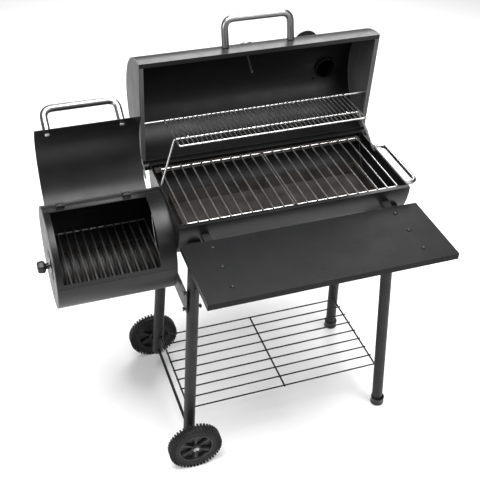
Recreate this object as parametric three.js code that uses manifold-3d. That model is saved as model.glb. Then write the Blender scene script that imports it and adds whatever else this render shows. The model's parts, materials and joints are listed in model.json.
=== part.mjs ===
// Offset smoker: a barrel cooking chamber with a side firebox on a four-legged cart.
// Millimetres, +Z up, +X along the barrel (firebox at -X), +Y to the back.
// Both lids are built shut, then swung open about their hinge lines.
import * as THREE from 'three';
import { mergeVertices } from 'three/addons/utils/BufferGeometryUtils.js';
import Module from 'manifold-3d';

const wasm = await Module();
wasm.setup();

// ---- driving dimensions ----
const GAP = 0.4;                 // clearance between pieces that touch
const SHEET = 2;                 // sheet metal thickness
const ARC_STEP = 7.5;            // degrees per facet on the big rolled sheets

const BARREL_R = 178;
const RIM_Z = 918;
const BOWL_HALF = 364;
const LID_HALF = 384;
const LIP = 14;                  // rolled-in rim of bowl and lid
const END_LIP = 5;
const LID_RIM_Z = RIM_Z + 3;
const LID_PIVOT = [176, 907];    // y, z
const LID_OPEN = 86;             // degrees
const PIVOT_BOLT_R = 4;
const PIVOT_SPACER_R = 12;
const PIVOT_HEAD = 6;
const BOWL_EAR_R = 13;           // stays inside the sweep of the lid's back lip
const LID_EAR_R = 16;
const LID_EAR_ROOT = [160, 940];
const LID_EAR_TIP = [187, 877];
const LID_EAR_TIP_R = 12;

const BOX_R = 155;               // firebox
const BOX_Z = 760;
const BOX_LEFT = -720;
const BOX_RIGHT = -BOWL_HALF - GAP;
const BOX_HINGE_AT = 80;         // degrees round the firebox, 0 = back, 90 = top
const BOX_SEAM_AT = 182;
const BOX_WINDOW = [-700, -416];
const BOX_WINDOW_FRONT = 176;
const BOX_LID_X = [-709, -407];
const BOX_LID_OPEN = 136;
const BOX_LID_GAP = 1;
const PORT_R = 58;
const PORT_Z = 835;

const LEG_R = 19;
const LEG_WALL = 2;
const LEG_FOOT = [357, 212];     // centre at the floor, x and y
const LEG_LEAN = [-44 / 917, -50 / 917];
const LEG_TOP = 850;
const LEG_BORE_TOP = 800;        // the tube is capped where it meets the barrel
const WHEEL_R = 90;
const TYRE_WIDTH = 32;
const WHEEL_Y = 278;
const AXLE_R = 5;

const RACK_Z = 162;
const RACK_HALF = [344, 180];
const TABLE_Z = 880;
const TABLE_HALF = 372;
const TABLE_Y = [-471, -210];
const TABLE_FOLD = 20;
const TABLE_BOLT_X = 286;
const TABLE_BOLT_Y = [-418, -330, -242];

const GRATE_Z = RIM_Z - 7;
const GRATE_HALF = [336, 153];
const LEDGE_DROP = 10.2;         // underside of a grate ledge below the grate wires
const RACK_PIVOT = [212, 1040];  // warming rack on the open lid
const BAIL_FOOT = [56, 909];
const BAIL_R = 3;
// The rack, bail, lid and bowl form a parallelogram, so the rack stays level as the lid shuts.
const BAIL_TOP = [
  BAIL_FOOT[0] + RACK_PIVOT[0] - LID_PIVOT[0],
  BAIL_FOOT[1] + RACK_PIVOT[1] - LID_PIVOT[1],
];

// ---- materials ----
const paint = (color, roughness = 0.5) => new THREE.MeshStandardMaterial({ color, roughness, metalness: 0.3 });
const MAT = {
  black_shell: paint(0x1b1b1c, 0.42),
  grey_plate: paint(0x4a4a4b, 0.5),
  table_paint: paint(0x232324, 0.6),
  leg_paint: paint(0x1f1f20, 0.55),
  bright_steel: new THREE.MeshStandardMaterial({ color: 0xb9b9bb, roughness: 0.28, metalness: 1 }),
  chrome: new THREE.MeshStandardMaterial({ color: 0xd4d5d8, roughness: 0.12, metalness: 1 }),
  black_wire: paint(0x202022, 0.45),
  fire_steel: new THREE.MeshStandardMaterial({ color: 0x39332f, roughness: 0.8, metalness: 0.6 }),
  black_plastic: new THREE.MeshStandardMaterial({ color: 0x121213, roughness: 0.5, metalness: 0 }),
  wheel_plastic: new THREE.MeshStandardMaterial({ color: 0x1a1a1b, roughness: 0.6, metalness: 0 }),
};

// ---- solids ----
function solid(geometry) {
  const bare = new THREE.BufferGeometry();
  bare.setAttribute('position', geometry.getAttribute('position').clone());
  if (geometry.index) bare.setIndex(geometry.index.clone());
  const merged = mergeVertices(bare, 1e-4);
  const mesh = new wasm.Mesh({
    numProp: 3,
    vertProperties: new Float32Array(merged.getAttribute('position').array),
    triVerts: new Uint32Array(merged.index.array),
  });
  mesh.merge();
  return new wasm.Manifold(mesh);
}

function geometryOf(manifold) {
  const mesh = manifold.getMesh();
  const geometry = new THREE.BufferGeometry();
  geometry.setAttribute('position', new THREE.BufferAttribute(new Float32Array(mesh.vertProperties), 3));
  geometry.setIndex(new THREE.BufferAttribute(new Uint32Array(mesh.triVerts), 1));
  const flat = geometry.toNonIndexed();
  flat.computeVertexNormals();
  return flat;
}

const union = (first, ...rest) => rest.reduce((sum, next) => sum.add(next), first);
const cut = (first, ...rest) => rest.reduce((left, tool) => left.subtract(tool), first);

function box(x0, x1, y0, y1, z0, z1) {
  const geometry = new THREE.BoxGeometry(x1 - x0, y1 - y0, z1 - z0);
  geometry.translate((x0 + x1) / 2, (y0 + y1) / 2, (z0 + z1) / 2);
  return solid(geometry);
}

function rod(from, to, radius, sides = 12) {
  const a = new THREE.Vector3(...from);
  const b = new THREE.Vector3(...to);
  const along = b.clone().sub(a);
  const geometry = new THREE.CylinderGeometry(radius, radius, along.length(), sides);
  const turn = new THREE.Quaternion().setFromUnitVectors(new THREE.Vector3(0, 1, 0), along.normalize());
  geometry.applyQuaternion(turn);
  geometry.translate(...a.add(b).multiplyScalar(0.5).toArray());
  return solid(geometry);
}

// A flat outline given in (y, z), thickened along X.
function plateX(outline, x0, x1, holes = []) {
  const shape = new THREE.Shape(outline.map(([y, z]) => new THREE.Vector2(y, z)));
  holes.forEach((hole) => shape.holes.push(new THREE.Path(hole.map(([y, z]) => new THREE.Vector2(y, z)))));
  const geometry = new THREE.ExtrudeGeometry(shape, { depth: x1 - x0, bevelEnabled: false });
  geometry.applyMatrix4(new THREE.Matrix4().set(0, 0, 1, x0, 1, 0, 0, 0, 0, 1, 0, 0, 0, 0, 0, 1));
  return solid(geometry);
}

// Points of an arc in degrees, as pairs.
function arc(centre, radius, from, to, step = ARC_STEP) {
  const count = Math.max(2, Math.ceil(Math.abs(to - from) / step));
  return Array.from({ length: count + 1 }, (_, i) => {
    const a = THREE.MathUtils.degToRad(from + ((to - from) * i) / count);
    return [centre[0] + radius * Math.cos(a), centre[1] + radius * Math.sin(a)];
  });
}

const disc = (centre, radius, sides = 24) => arc(centre, radius, 0, 360, 360 / sides).slice(0, -1);

// A rolled sheet: the ring between two radii, from one angle to another.
function rolled(centre, inner, outer, from, to, x0, x1) {
  return plateX([...arc(centre, outer, from, to), ...arc(centre, inner, to, from)], x0, x1);
}

// A round bar bent along a path, with its corners rounded off.
function bentBar(corners, radius, bend, sides = 10, bendSteps = 5) {
  const path = [new THREE.Vector3(...corners[0])];
  for (let i = 1; i < corners.length - 1; i += 1) {
    const here = new THREE.Vector3(...corners[i]);
    const back = new THREE.Vector3(...corners[i - 1]).sub(here);
    const on = new THREE.Vector3(...corners[i + 1]).sub(here);
    const start = here.clone().addScaledVector(back.normalize(), bend);
    const end = here.clone().addScaledVector(on.normalize(), bend);
    const curve = new THREE.QuadraticBezierCurve3(start, here, end);
    path.push(...curve.getPoints(bendSteps));
  }
  path.push(new THREE.Vector3(...corners[corners.length - 1]));
  const tangent = (i) => {
    const before = path[Math.max(0, i - 1)];
    const after = path[Math.min(path.length - 1, i + 1)];
    return after.clone().sub(before).normalize();
  };
  let side = new THREE.Vector3(0.31, 0.52, 0.79);
  const points = [];
  path.forEach((centre, i) => {
    const t = tangent(i);
    side = side.clone().addScaledVector(t, -side.dot(t)).normalize();
    const up = t.clone().cross(side);
    for (let k = 0; k < sides; k += 1) {
      const a = (2 * Math.PI * k) / sides;
      points.push(centre.clone().addScaledVector(side, radius * Math.cos(a)).addScaledVector(up, radius * Math.sin(a)));
    }
  });
  const index = [];
  for (let i = 0; i < path.length - 1; i += 1) {
    for (let k = 0; k < sides; k += 1) {
      const a = i * sides + k;
      const b = i * sides + ((k + 1) % sides);
      index.push(a, b, b + sides, a, b + sides, a + sides);
    }
  }
  const last = (path.length - 1) * sides;
  for (let k = 1; k < sides - 1; k += 1) {
    index.push(0, k + 1, k);
    index.push(last, last + k, last + k + 1);
  }
  const geometry = new THREE.BufferGeometry().setFromPoints(points);
  geometry.setIndex(index);
  return solid(geometry);
}

// A turned piece: profile in (radius, height), spun about an axis through origin.
function turned(profile, origin, axis, sides = 24) {
  const geometry = new THREE.LatheGeometry(profile.map(([r, h]) => new THREE.Vector2(r, h)), sides);
  const turn = new THREE.Quaternion().setFromUnitVectors(new THREE.Vector3(0, 1, 0), new THREE.Vector3(...axis));
  geometry.applyQuaternion(turn);
  geometry.translate(...origin);
  const body = solid(geometry);
  return body.volume() < 0 ? solid(flipped(geometry)) : body;
}

function flipped(geometry) {
  const copy = geometry.clone();
  const index = Array.from(copy.index.array);
  for (let i = 0; i < index.length; i += 3) [index[i], index[i + 1]] = [index[i + 1], index[i]];
  copy.setIndex(index);
  return copy;
}

// ---- the assembly ----
const group = new THREE.Group();
group.name = 'offset_smoker';

function addPart(name, manifold, material, motion = null) {
  const geometry = geometryOf(manifold);
  if (motion) geometry.applyMatrix4(motion);
  const mesh = new THREE.Mesh(geometry, material);
  mesh.name = name;
  group.add(mesh);
}

function swing([y, z], degrees) {
  return new THREE.Matrix4().makeTranslation(0, y, z)
    .multiply(new THREE.Matrix4().makeRotationX(THREE.MathUtils.degToRad(degrees)))
    .multiply(new THREE.Matrix4().makeTranslation(0, -y, -z));
}

const lidOpen = swing(LID_PIVOT, -LID_OPEN);
const lidShut = lidOpen.clone().invert();
const boxHinge = [
  BOX_R * Math.cos(THREE.MathUtils.degToRad(BOX_HINGE_AT)),
  BOX_Z + BOX_R * Math.sin(THREE.MathUtils.degToRad(BOX_HINGE_AT)) + 6,
];
const boxLidOpen = swing(boxHinge, -BOX_LID_OPEN);

function shutLidPoint([y, z]) {
  const point = new THREE.Vector3(0, y, z).applyMatrix4(lidShut);
  return [point.y, point.z];
}

// Barrel: bowl, end plates, grate ledges
function bowlShell() {
  const centre = [0, RIM_Z];
  const outline = [
    ...arc(centre, BARREL_R, 180, 360),
    [BARREL_R - LIP, RIM_Z],
    [BARREL_R - LIP, RIM_Z - SHEET],
    ...arc(centre, BARREL_R - SHEET, 359.3, 180.7),
    [LIP - BARREL_R, RIM_Z - SHEET],
    [LIP - BARREL_R, RIM_Z],
  ];
  return plateX(outline, SHEET + GAP - BOWL_HALF, BOWL_HALF - SHEET - GAP);
}

// A flat strap with round ends, given by two discs in (y, z).
function strap(a, radiusA, b, radiusB, x0, x1) {
  const along = new THREE.Vector2(...b).sub(new THREE.Vector2(...a)).normalize();
  const edge = ([y, z], radius, side) => [y - side * along.y * radius, z + side * along.x * radius];
  const sides = [edge(a, radiusA, 1), edge(b, radiusB, 1), edge(b, radiusB, -1), edge(a, radiusA, -1)];
  return union(plateX(disc(a, radiusA, 20), x0, x1), plateX(disc(b, radiusB, 20), x0, x1), plateX(sides, x0, x1));
}

function pivotHole(x0, x1, radius) {
  return rod([x0, ...LID_PIVOT], [x1, ...LID_PIVOT], radius, 16);
}

function bowlEnd(side) {
  const centre = [0, RIM_Z];
  const [x0, x1] = side < 0 ? [-BOWL_HALF, SHEET - BOWL_HALF] : [BOWL_HALF - SHEET, BOWL_HALF];
  let plate = plateX(arc(centre, BARREL_R, 180, 360), x0, x1);
  const lipX = side < 0 ? [x0, x0 + END_LIP] : [x1 - END_LIP, x1];
  const lipY = BARREL_R - LIP - GAP;
  plate = union(plate, box(...lipX, -lipY, lipY, RIM_Z - SHEET, RIM_Z));
  plate = union(plate, plateX(disc(LID_PIVOT, BOWL_EAR_R, 20), x0, x1));
  plate = cut(plate, pivotHole(x0 - 1, x1 + 1, PIVOT_BOLT_R + GAP));
  plate = cut(plate, rod([x0 - 1, ...BAIL_FOOT], [x1 + 1, ...BAIL_FOOT], BAIL_R + GAP, 12));
  if (side < 0) plate = cut(plate, rod([x0 - 1, 0, PORT_Z], [x1 + 1, 0, PORT_Z], PORT_R, 32));
  return plate;
}

function grateLedge(side) {
  const wall = side * (BARREL_R - 5.5);
  const inner = side * (GRATE_HALF[1] - 12);
  const half = BOWL_HALF - 14;
  return box(-half, half, Math.min(wall, inner), Math.max(wall, inner), GRATE_Z - LEDGE_DROP, GRATE_Z - LEDGE_DROP + SHEET);
}

// Lid
function lidShell() {
  const centre = [0, LID_RIM_Z];
  const outline = [
    ...arc(centre, BARREL_R, 0, 180),
    [LIP - BARREL_R, LID_RIM_Z],
    [LIP - BARREL_R, LID_RIM_Z + SHEET],
    ...arc(centre, BARREL_R - SHEET, 179.3, 0.7),
    [BARREL_R - LIP, LID_RIM_Z + SHEET],
    [BARREL_R - LIP, LID_RIM_Z],
  ];
  const half = LID_HALF - SHEET - GAP;
  const shell = plateX(outline, -half, half);
  return cut(shell, chimneyTool(CHIMNEY_R - 2), thermometerTool(5.5));
}

function lidEnd(side) {
  const centre = [0, LID_RIM_Z];
  const [x0, x1] = side < 0 ? [-LID_HALF, SHEET - LID_HALF] : [LID_HALF - SHEET, LID_HALF];
  const lipX = side < 0 ? [x0, x0 + LIP] : [x1 - LIP, x1];
  const lipY = BARREL_R - LIP - GAP;
  const rackHole = shutLidPoint(RACK_PIVOT);
  const plate = union(
    plateX(arc(centre, BARREL_R, 0, 180), x0, x1),
    box(...lipX, -lipY, lipY, LID_RIM_Z, LID_RIM_Z + SHEET),
    strap(LID_EAR_ROOT, LID_EAR_R - 2, LID_PIVOT, LID_EAR_R, x0, x1),
    strap(LID_PIVOT, LID_EAR_R, LID_EAR_TIP, LID_EAR_TIP_R, x0, x1),
  );
  return cut(
    plate,
    pivotHole(x0 - 1, x1 + 1, PIVOT_BOLT_R + GAP),
    rod([x0 - 1, ...rackHole], [x1 + 1, ...rackHole], 3 + GAP, 12),
  );
}

function lidPivotBolt(side) {
  const at = (x) => [side * x, ...LID_PIVOT];
  const outside = LID_HALF + PIVOT_HEAD;
  const spacer = rod(at(BOWL_HALF + GAP), at(LID_HALF - SHEET - GAP), PIVOT_SPACER_R, 20);
  const shank = rod(at(BOWL_HALF - SHEET), at(outside), PIVOT_BOLT_R, 16);
  const head = rod(at(LID_HALF + GAP), at(outside), 2 * PIVOT_BOLT_R, 6);
  return union(spacer, shank, head);
}

const HANDLE_AT = 164;           // degrees round the shut lid, 0 = back, 90 = top
const HANDLE_OUT = 262;
const HANDLE_HALF = 105;
const HANDLE_R = 11;             // lid and firebox handle tubes
const HANDLE_BEND = 30;
function onLid(degrees, radius, x = 0) {
  const a = THREE.MathUtils.degToRad(degrees);
  return [x, radius * Math.cos(a), LID_RIM_Z + radius * Math.sin(a)];
}

function lidHandle() {
  const foot = BARREL_R + GAP;
  const corners = [
    onLid(HANDLE_AT, foot, -HANDLE_HALF),
    onLid(HANDLE_AT, HANDLE_OUT, -HANDLE_HALF),
    onLid(HANDLE_AT, HANDLE_OUT, HANDLE_HALF),
    onLid(HANDLE_AT, foot, HANDLE_HALF),
  ];
  return bentBar(corners, HANDLE_R, HANDLE_BEND, 12, 6);
}

// Thermometer through the lid's front
const THERMO_AT = 121;
const CASE_R = 28;
const STEM_REACH = 80;
function thermometerTool(radius) {
  return rod(onLid(THERMO_AT, BARREL_R - 12), onLid(THERMO_AT, BARREL_R + 12), radius, 16);
}

function thermometer() {
  const radial = new THREE.Vector3(...onLid(THERMO_AT, 1)).sub(new THREE.Vector3(0, 0, LID_RIM_Z)).toArray();
  const bevel = CASE_R - 3;
  const caseProfile = [[0, 1.6], [bevel, 1.6], [CASE_R, 4], [CASE_R, 14], [bevel, 16], [0, 16]];
  const caseBody = turned(caseProfile, onLid(THERMO_AT, BARREL_R), radial, 28);
  const stem = rod(onLid(THERMO_AT, BARREL_R - STEM_REACH), onLid(THERMO_AT, BARREL_R + 6), 3, 10);
  const neck = rod(onLid(THERMO_AT, BARREL_R - 14), onLid(THERMO_AT, BARREL_R + 6), 5, 14);
  const nut = rod(onLid(THERMO_AT, BARREL_R - SHEET - GAP - 5.5), onLid(THERMO_AT, BARREL_R - SHEET - GAP - 0.6), 9, 6);
  return union(caseBody, neck, stem, nut);
}

// Chimney on top of the lid
const CHIMNEY_X = 295;
const CHIMNEY_Y = 22;
const CHIMNEY_R = 35;
const CHIMNEY_TOP = 1256;
const CAP_LIFT = 12;
function chimneyTool(radius) {
  return rod([CHIMNEY_X, CHIMNEY_Y, LID_RIM_Z + 120], [CHIMNEY_X, CHIMNEY_Y, LID_RIM_Z + 200], radius, 24);
}

function chimneyPipe() {
  const inner = CHIMNEY_R - SHEET;
  const centre = [0, LID_RIM_Z];
  const saddle = rolled(centre, BARREL_R + GAP, BARREL_R + GAP + SHEET, 60, 102, CHIMNEY_X - 48, CHIMNEY_X + 48);
  const pipe = cut(
    rod([CHIMNEY_X, CHIMNEY_Y, LID_RIM_Z + 120], [CHIMNEY_X, CHIMNEY_Y, CHIMNEY_TOP], CHIMNEY_R, 24),
    plateX(disc(centre, BARREL_R + GAP + 0.2, 48), CHIMNEY_X - 60, CHIMNEY_X + 60),
  );
  const bore = rod([CHIMNEY_X, CHIMNEY_Y, LID_RIM_Z + 100], [CHIMNEY_X, CHIMNEY_Y, CHIMNEY_TOP + 5], inner, 24);
  const bar = box(CHIMNEY_X - inner - 1, CHIMNEY_X + inner + 1, CHIMNEY_Y - 7, CHIMNEY_Y + 7, CHIMNEY_TOP - 12, CHIMNEY_TOP - 9);
  const stud = rod([CHIMNEY_X, CHIMNEY_Y, CHIMNEY_TOP - 10], [CHIMNEY_X, CHIMNEY_Y, CHIMNEY_TOP + 52], 3, 12);
  return union(cut(union(saddle, pipe), bore), bar, stud);
}

function chimneyCap() {
  const hole = 3 + GAP;
  const profile = [[hole, 17], [14, 15.5], [30, 9], [44, 0], [46, 3], [31, 12], [14, 18.5], [8, 19.5], [8, 26], [hole, 26], [hole, 17]];
  return turned(profile, [CHIMNEY_X, CHIMNEY_Y, CHIMNEY_TOP + CAP_LIFT], [0, 0, 1], 20);
}

// Warming rack hung between the lid and a swinging bail
const WARM_HALF = 300;
const WARM_FRONT = 41;
const WARM_PITCH = 20;
function warmingRack() {
  const [backY, backZ] = RACK_PIVOT;
  const pivotReach = LID_HALF + 2;
  const meshZ = BAIL_TOP[1] + 8;
  let rack = rod([-pivotReach, backY, backZ], [pivotReach, backY, backZ], 3, 6);
  rack = union(rack, rod([-WARM_HALF - 3, WARM_FRONT, meshZ - 3], [WARM_HALF + 3, WARM_FRONT, meshZ - 3], 3, 6));
  for (const side of [-1, 1]) {
    rack = union(rack, rod([side * WARM_HALF, backY, backZ + 4], [side * WARM_HALF, WARM_FRONT, meshZ], 2, 6));
    rack = union(rack, bailHook(side * (WARM_HALF - 2 * WARM_PITCH)));
  }
  const count = Math.round((2 * WARM_HALF) / WARM_PITCH);
  for (let i = 1; i < count; i += 1) {
    const x = -WARM_HALF + i * WARM_PITCH;
    rack = union(rack, rod([x, WARM_FRONT - 2, meshZ], [x, backY + 2, backZ + 3.4], 1.3, 4));
  }
  return rack;
}

// A hook under the rack that wraps the bail's top bar with clearance.
function bailHook(x) {
  const ring = rolled(BAIL_TOP, BAIL_R + 1.4, BAIL_R + 3.6, 100, 350, x - 2, x + 2);
  const [y, z] = BAIL_TOP;
  return union(ring, box(x - 2, x + 2, y - 6.4, y - 0.6, z + 4.2, z + 7));
}

function warmingBail() {
  const footX = BOWL_HALF - 8;
  const topX = WARM_HALF + 2;
  const feetEnd = BOWL_HALF - GAP;
  const [footY, footZ] = BAIL_FOOT;
  const [topY, topZ] = BAIL_TOP;
  const corners = [
    [-feetEnd, footY, footZ],
    [-footX, footY, footZ],
    [-topX, topY, topZ],
    [topX, topY, topZ],
    [footX, footY, footZ],
    [feetEnd, footY, footZ],
  ];
  return bentBar(corners, BAIL_R, 6, 10, 4);
}

// Cooking grates, charcoal pans
const GRATE_PITCH = 33;
const BOX_GRATE_PITCH = 26;
// The firebox grates are as wide as the drum at their height, so they rest on its curve.
const BOX_GRATE_Z = 735;
const BOX_GRATE_HALF = 150;
const BOX_GRATE_X = [-700, -392];
const COAL_GRATE_Z = 680;
const COAL_GRATE_HALF = 124;
const COAL_GRATE_X = [-706, -386];
function wireGrate(x0, x1, half, z, pitch, wireR, barR) {
  const low = z - wireR - barR + 0.8;
  const barY = half - 4;
  let grate = union(
    rod([x0, -barY, low], [x1, -barY, low], barR, 6),
    rod([x0, barY, low], [x1, barY, low], barR, 6),
  );
  const count = Math.round((x1 - x0 - 2 * wireR) / pitch);
  for (let i = 0; i <= count; i += 1) {
    const x = x0 + wireR + ((x1 - x0 - 2 * wireR) * i) / count;
    grate = union(grate, rod([x, -half, z], [x, half, z], wireR, 6));
  }
  return grate;
}

const PAN_Z = [800, 838];
const PAN_HALF = [320, 112];
const PAN_FLARE = 8;
function charcoalPan() {
  const [low, high] = PAN_Z;
  const [length, width] = PAN_HALF;
  const floor = width - PAN_FLARE;
  const outer = [[-width, high], [-floor, low], [floor, low], [width, high]];
  const inner = [[width - SHEET, high], [floor - 1.6, low + SHEET], [1.6 - floor, low + SHEET], [SHEET - width, high]];
  const tray = plateX([...outer, ...inner], SHEET - length, length - SHEET);
  const ends = [plateX(outer, -length, 1 + SHEET - length), plateX(outer, length - 1 - SHEET, length)];
  return union(tray, ...ends);
}

// Firebox
const boxCentre = [0, BOX_Z];
function fireboxLower() {
  return rolled(boxCentre, BOX_R - SHEET, BOX_R, BOX_SEAM_AT, 360 + BOX_HINGE_AT, BOX_LEFT + SHEET + GAP, BOX_RIGHT - SHEET - GAP);
}

function fireboxUpper() {
  const sheet = rolled(boxCentre, BOX_R - SHEET, BOX_R, BOX_HINGE_AT + 0.3, BOX_SEAM_AT - 0.3, BOX_LEFT + SHEET + GAP, BOX_RIGHT - SHEET - GAP);
  const window = rolled(boxCentre, BOX_R - 20, BOX_R + 20, BOX_HINGE_AT + 7, BOX_WINDOW_FRONT, BOX_WINDOW[0], BOX_WINDOW[1]);
  return cut(sheet, window);
}

const VENT = [-45, 765];         // centre of the firebox air vent, y and z
const VENT_HOLES = 4;
const VENT_HOLE_R = 11;
const VENT_CIRCLE_R = 30;
const DAMPER_R = 48;
const SHAFT_R = 3;
const KNOB_R = 20;
const KNOB_NECK = 9;
const KNOB_LENGTH = 34;
const KNOB_BACK = BOX_LEFT - 5;
function ventHoles(x0, x1) {
  return Array.from({ length: VENT_HOLES }, (_, i) => {
    const [y, z] = arc(VENT, VENT_CIRCLE_R, 45 + (360 / VENT_HOLES) * i, 46 + (360 / VENT_HOLES) * i)[0];
    return rod([x0, y, z], [x1, y, z], VENT_HOLE_R, 16);
  });
}

function fireboxEnd(side) {
  const [x0, x1] = side < 0 ? [BOX_LEFT, BOX_LEFT + SHEET] : [BOX_RIGHT - SHEET, BOX_RIGHT];
  const plate = plateX(disc(boxCentre, BOX_R, 48), x0, x1);
  if (side > 0) return cut(plate, rod([x0 - 1, 0, PORT_Z], [x1 + 1, 0, PORT_Z], PORT_R, 32));
  const shaftHole = rod([x0 - 1, ...VENT], [x1 + 1, ...VENT], SHAFT_R + GAP, 12);
  return cut(plate, shaftHole, ...ventHoles(x0 - 1, x1 + 1));
}

function airDamper() {
  const plate = plateX(disc(VENT, DAMPER_R, 32), BOX_LEFT - GAP - 1.5, BOX_LEFT - GAP);
  const shaft = rod([KNOB_BACK - 20, ...VENT], [BOX_LEFT + 14, ...VENT], SHAFT_R, 12);
  const nutFace = BOX_LEFT + SHEET + GAP;
  const nut = rod([nutFace, ...VENT], [nutFace + 5, ...VENT], 7, 6);
  return union(cut(plate, ...ventHoles(BOX_LEFT - 5, BOX_LEFT + 5)), shaft, nut);
}

function airKnob() {
  const bore = SHAFT_R + GAP;
  const neck = KNOB_NECK;
  const body = [[bore, 0], [9, 0], [9, neck], [KNOB_R - 3, neck + 3], [KNOB_R, neck + 8], [KNOB_R, neck + 20], [KNOB_R - 4, KNOB_LENGTH]];
  const inside = [[0, KNOB_LENGTH], [0, KNOB_LENGTH - 3], [bore, KNOB_LENGTH - 3], [bore, 0]];
  return turned([...body, ...inside], [KNOB_BACK, ...VENT], [-1, 0, 0], 8);
}

function fireboxLid() {
  const inner = BOX_R + BOX_LID_GAP;
  return rolled(boxCentre, inner, inner + SHEET, BOX_HINGE_AT + 3, BOX_SEAM_AT - 1, ...BOX_LID_X);
}

const BOX_HANDLE_AT = 168;
const BOX_HANDLE_HALF = 106;
const BOX_HANDLE_REACH = 78;
function fireboxHandle() {
  const at = BOX_HANDLE_AT;
  const point = (x, radius) => {
    const [y, z] = arc(boxCentre, radius, at, at + 1)[0];
    return [x, y, z];
  };
  const foot = BOX_R + BOX_LID_GAP + SHEET + GAP;
  const middle = (BOX_LID_X[0] + BOX_LID_X[1]) / 2 - 8;
  const [left, right] = [middle - BOX_HANDLE_HALF, middle + BOX_HANDLE_HALF];
  const out = foot + BOX_HANDLE_REACH;
  return bentBar([point(left, foot), point(left, out), point(right, out), point(right, foot)], HANDLE_R, HANDLE_BEND, 12, 6);
}

// Firebox hinges: the fixed leaf has two knuckles and the pin, the moving leaf one knuckle between them
const BOX_HINGES = [-664, -468];
const HINGE_PIN_R = 1.8;
const HINGE_BARREL_R = 3.6;
const LEAF_HALF = 12;
const LEAF_THICK = 1.6;
const KNUCKLE_HALF = 5.4;
function hingeLeaf(x, fixed) {
  const [y, z] = boxHinge;
  const outer = KNUCKLE_HALF + 0.6;
  const knuckles = fixed ? [[-LEAF_HALF, -outer], [outer, LEAF_HALF]] : [[-KNUCKLE_HALF, KNUCKLE_HALF]];
  const edge = BOX_R + (fixed ? GAP : BOX_LID_GAP + SHEET + GAP);
  const [from, to] = fixed ? [BOX_HINGE_AT - 12, BOX_HINGE_AT - 0.5] : [BOX_HINGE_AT + 3.4, BOX_HINGE_AT + 13];
  const rootAt = fixed ? BOX_HINGE_AT - 5 : BOX_HINGE_AT + 5;
  const [low, high] = [edge + 0.2, edge + LEAF_THICK].map((radius) => arc(boxCentre, radius, rootAt, rootAt + 1)[0]);
  const neck = fixed ? [[y, z - 3], low, high, [y + 2.4, z]] : [[y, z + 3], high, low, [y - 1.6, z - 1.2]];
  let leaf = rolled(boxCentre, edge, edge + LEAF_THICK, from, to, x - LEAF_HALF, x + LEAF_HALF);
  knuckles.forEach(([a, b]) => {
    leaf = union(leaf, rod([x + a, y, z], [x + b, y, z], HINGE_BARREL_R, 16), plateX(neck, x + a, x + b));
  });
  if (fixed) return union(leaf, rod([x - LEAF_HALF, y, z], [x + LEAF_HALF, y, z], HINGE_PIN_R, 12));
  const bored = cut(leaf, rod([x - LEAF_HALF - 1, y, z], [x + LEAF_HALF + 1, y, z], HINGE_PIN_R + GAP, 12));
  const beside = [-1, 1].map((side) => {
    const ends = [x + side * KNUCKLE_HALF, x + side * (LEAF_HALF + 1)];
    return box(Math.min(...ends), Math.max(...ends), y - 5.5, y + 5, z - 5, z + 5);
  });
  return cut(bored, ...beside);
}

// Cart
function legPoint(sx, sy, z) {
  return [sx * (LEG_FOOT[0] + LEG_LEAN[0] * z), sy * (LEG_FOOT[1] + LEG_LEAN[1] * z), z];
}

const BRACE_Z = [600, 685];
const BRACE_BOLT_Z = [612, 672];
const BRACE_BOLT_R = 4;
const LEG_BOTTOM = { left: 72, right: 4.5 };
function leg(sx, sy) {
  const bottom = sx < 0 ? LEG_BOTTOM.left : LEG_BOTTOM.right;
  const tube = cut(
    rod(legPoint(sx, sy, bottom), legPoint(sx, sy, LEG_TOP), LEG_R, 16),
    rod(legPoint(sx, sy, bottom - 10), legPoint(sx, sy, LEG_BORE_TOP), LEG_R - LEG_WALL, 16),
  );
  const cope = plateX(disc([0, RIM_Z], BARREL_R + GAP + 0.3, 48), -BOWL_HALF, BOWL_HALF);
  let shaped = cut(tube, cope);
  BRACE_BOLT_Z.forEach((z) => {
    const [x, y] = legPoint(sx, sy, z);
    shaped = cut(shaped, rod([x - 30, y, z], [x + 30, y, z], BRACE_BOLT_R + GAP + 0.4, 8));
  });
  const [pegX, pegY] = legPoint(sx, sy, RACK_Z - 8);
  const peg = rod([pegX, pegY - sy * (LEG_R - 1), RACK_Z - 8], [pegX, pegY - sy * (LEG_R + 10), RACK_Z - 8], 4, 10);
  shaped = union(shaped, peg);
  if (sx < 0) {
    const [x, y] = legPoint(sx, sy, WHEEL_R);
    shaped = cut(shaped, rod([x, y - 40, WHEEL_R], [x, y + 40, WHEEL_R], AXLE_R + GAP, 14));
  }
  return shaped;
}

function footCap(sy) {
  const [x, y] = legPoint(1, sy, 0);
  const outer = LEG_R + 5;
  const inner = LEG_R + 3;
  const profile = [[0, 0], [outer - 2, 0], [outer, 3], [outer, 30], [inner, 30], [inner, 2.2], [0, 2.2]];
  return turned(profile, [x, y, 0], [0, 0, 1], 20);
}

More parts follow.
